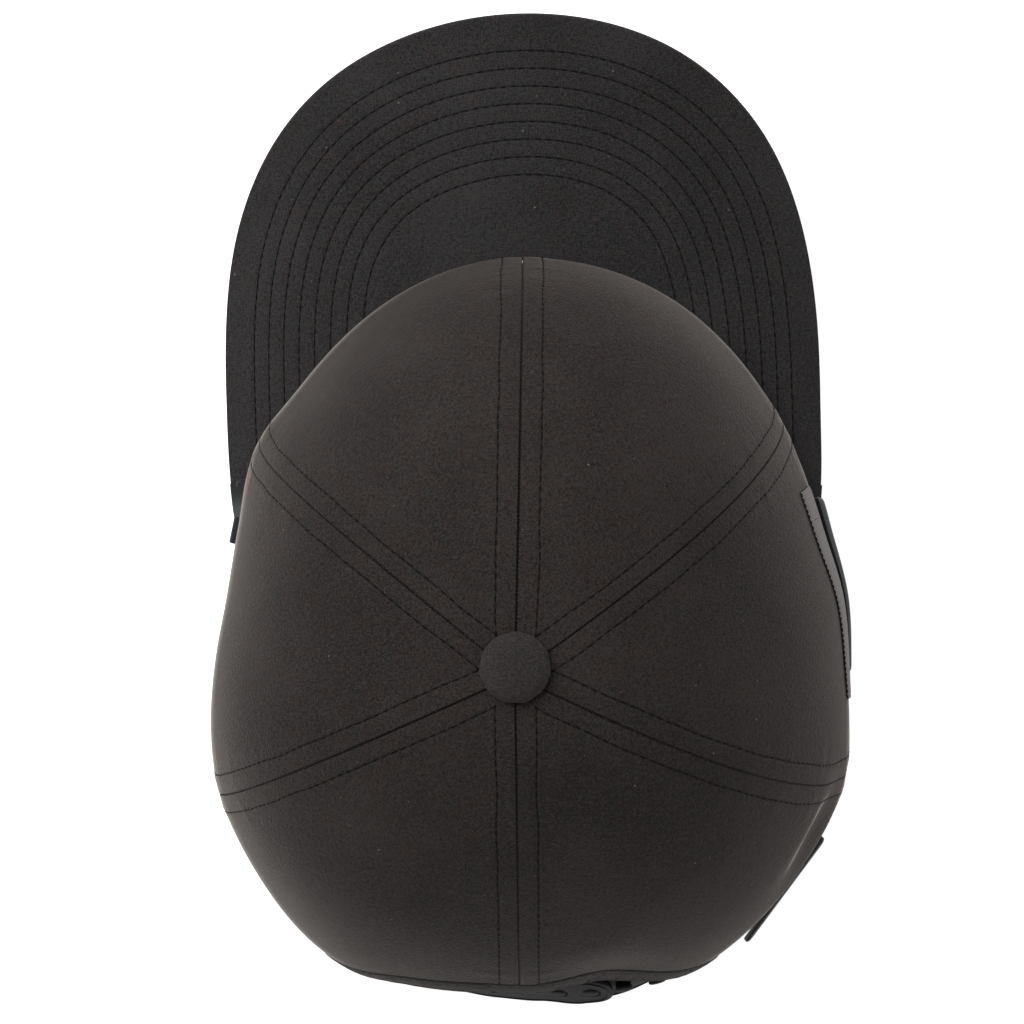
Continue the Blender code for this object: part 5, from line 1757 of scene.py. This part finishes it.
def tube_rings(points, radius, sides=3):
    """Rings of points round a line."""
    way = unit(np.gradient(points, axis=0))
    first = unit(np.cross(way, (0.31, 0.52, 0.79)))
    second = np.cross(way, first)
    angle = (np.arange(sides) * math.tau / sides)[None, :, None]
    spokes = first[:, None, :] * np.cos(angle) + second[:, None, :] * np.sin(angle)
    return points[:, None, :] + radius * spokes


hairs = []
for _ in range(CROWN_HAIRS):
    bearing, turn = chance.uniform(0.0, 360.0), math.sqrt(chance.uniform(0.02, 1.0)) * CROWN_HAIR_LOWEST
    up = dome_normal(np.array(bearing), np.array(turn))
    root = off_crown(np.array(bearing), np.array(turn), ALLOWANCE_RISE)
    any_way = unit(np.cross(up, chance.normal(size=3)))
    hairs.append(hair(root, any_way, up, chance.uniform(*CROWN_HAIR_LENGTHS) * MM))
corner_y = BRIM_LEFT_END_Y - CORNER_TAPES[0]["cover"]
corner_edge = float(np.interp(-corner_y, -EDGE_LINE[:200, 1], EDGE_LINE[:200, 0]))
for _ in range(CORNER_HAIRS):
    flat = np.array([corner_edge - chance.uniform(0.0, 4.4) * MM, corner_y + chance.uniform(-0.9, 0.9) * MM])
    root = bend_brim(flat, FOLD_OUTSIDE[0][1] * MM)
    way = unit(np.array([chance.uniform(-0.5, 0.5), 1.0, 0.0]))
    up = unit(root - bend_brim(flat, 0.0))
    hairs.append(hair(root, way, up, chance.uniform(*CORNER_HAIR_LENGTHS) * MM))

hair_rings = np.stack([tube_rings(line, HAIR_RADIUS) for line in hairs])
hair_count, ring_count, ring_sides = hair_rings.shape[:3]
hair_faces = [face for k in range(hair_count)
              for face in ring_faces(ring_count, ring_sides, k * ring_count * ring_sides)]
hair_mesh = bpy.data.meshes.new("loose_fibres")
hair_mesh.from_pydata((hair_rings.reshape(-1, 3) + HOME).tolist(), [], hair_faces)
close_mesh(hair_mesh)
finish_piece("loose_fibres", hair_mesh, FIBRE, "crown_cloth")

# %% [markdown]
# ## Table, sky and lamp
#
# The photograph was taken on a white table in soft, even light, so the floor is white and most of
# the light comes from all round. A wide lamp above the upper left gives the crown its gentle slope
# of tones and puts the button's shadow on its right.

# %% The table
FLOOR_SIZE = 6.0
FLOOR_GLOW = 0.80

corners = [(x * FLOOR_SIZE / 2, y * FLOOR_SIZE / 2, 0.0) for x, y in ((-1, -1), (1, -1), (1, 1), (-1, 1))]
floor_mesh = bpy.data.meshes.new("floor")
floor_mesh.from_pydata(corners, [], [(0, 1, 2, 3)])
floor = bpy.data.objects.new("floor", floor_mesh)
bpy.context.scene.collection.objects.link(floor)
floor_material, _, floor_shader = new_material("white_lit_table")
for key, value in (("Base Color", linear("#f2f2f2")), ("Roughness", 0.8),
                   ("Emission Color", linear("#ffffff")), ("Emission Strength", FLOOR_GLOW)):
    floor_shader.inputs[key].default_value = value
floor_mesh.materials.append(floor_material)
print("table:", FLOOR_SIZE, "m")

# %% Sky and lamp
SKY_STRENGTH = 0.46
LAMP_PLACE = Vector((0.60, -0.66, 1.30))
LAMP_AIM = Vector((0.0, 0.0, 0.05))
LAMP_SIZE = 0.9
LAMP_POWER = 22.0

world = bpy.data.worlds.new("studio")
world.use_nodes = True
sky = world.node_tree.nodes["Background"]
sky.inputs["Color"].default_value = linear("#fffdfb")
sky.inputs["Strength"].default_value = SKY_STRENGTH
bpy.context.scene.world = world
bpy.context.scene.view_settings.view_transform = "Standard"

lamp_data = bpy.data.lights.new("key", "AREA")
lamp_data.shape = "RECTANGLE"
lamp_data.size = lamp_data.size_y = LAMP_SIZE
lamp_data.energy = LAMP_POWER
lamp = bpy.data.objects.new("key", lamp_data)
lamp.location = LAMP_PLACE
lamp.rotation_euler = (LAMP_AIM - LAMP_PLACE).to_track_quat("-Z", "Y").to_euler()
bpy.context.scene.collection.objects.link(lamp)
print("lamp power:", LAMP_POWER, "W")
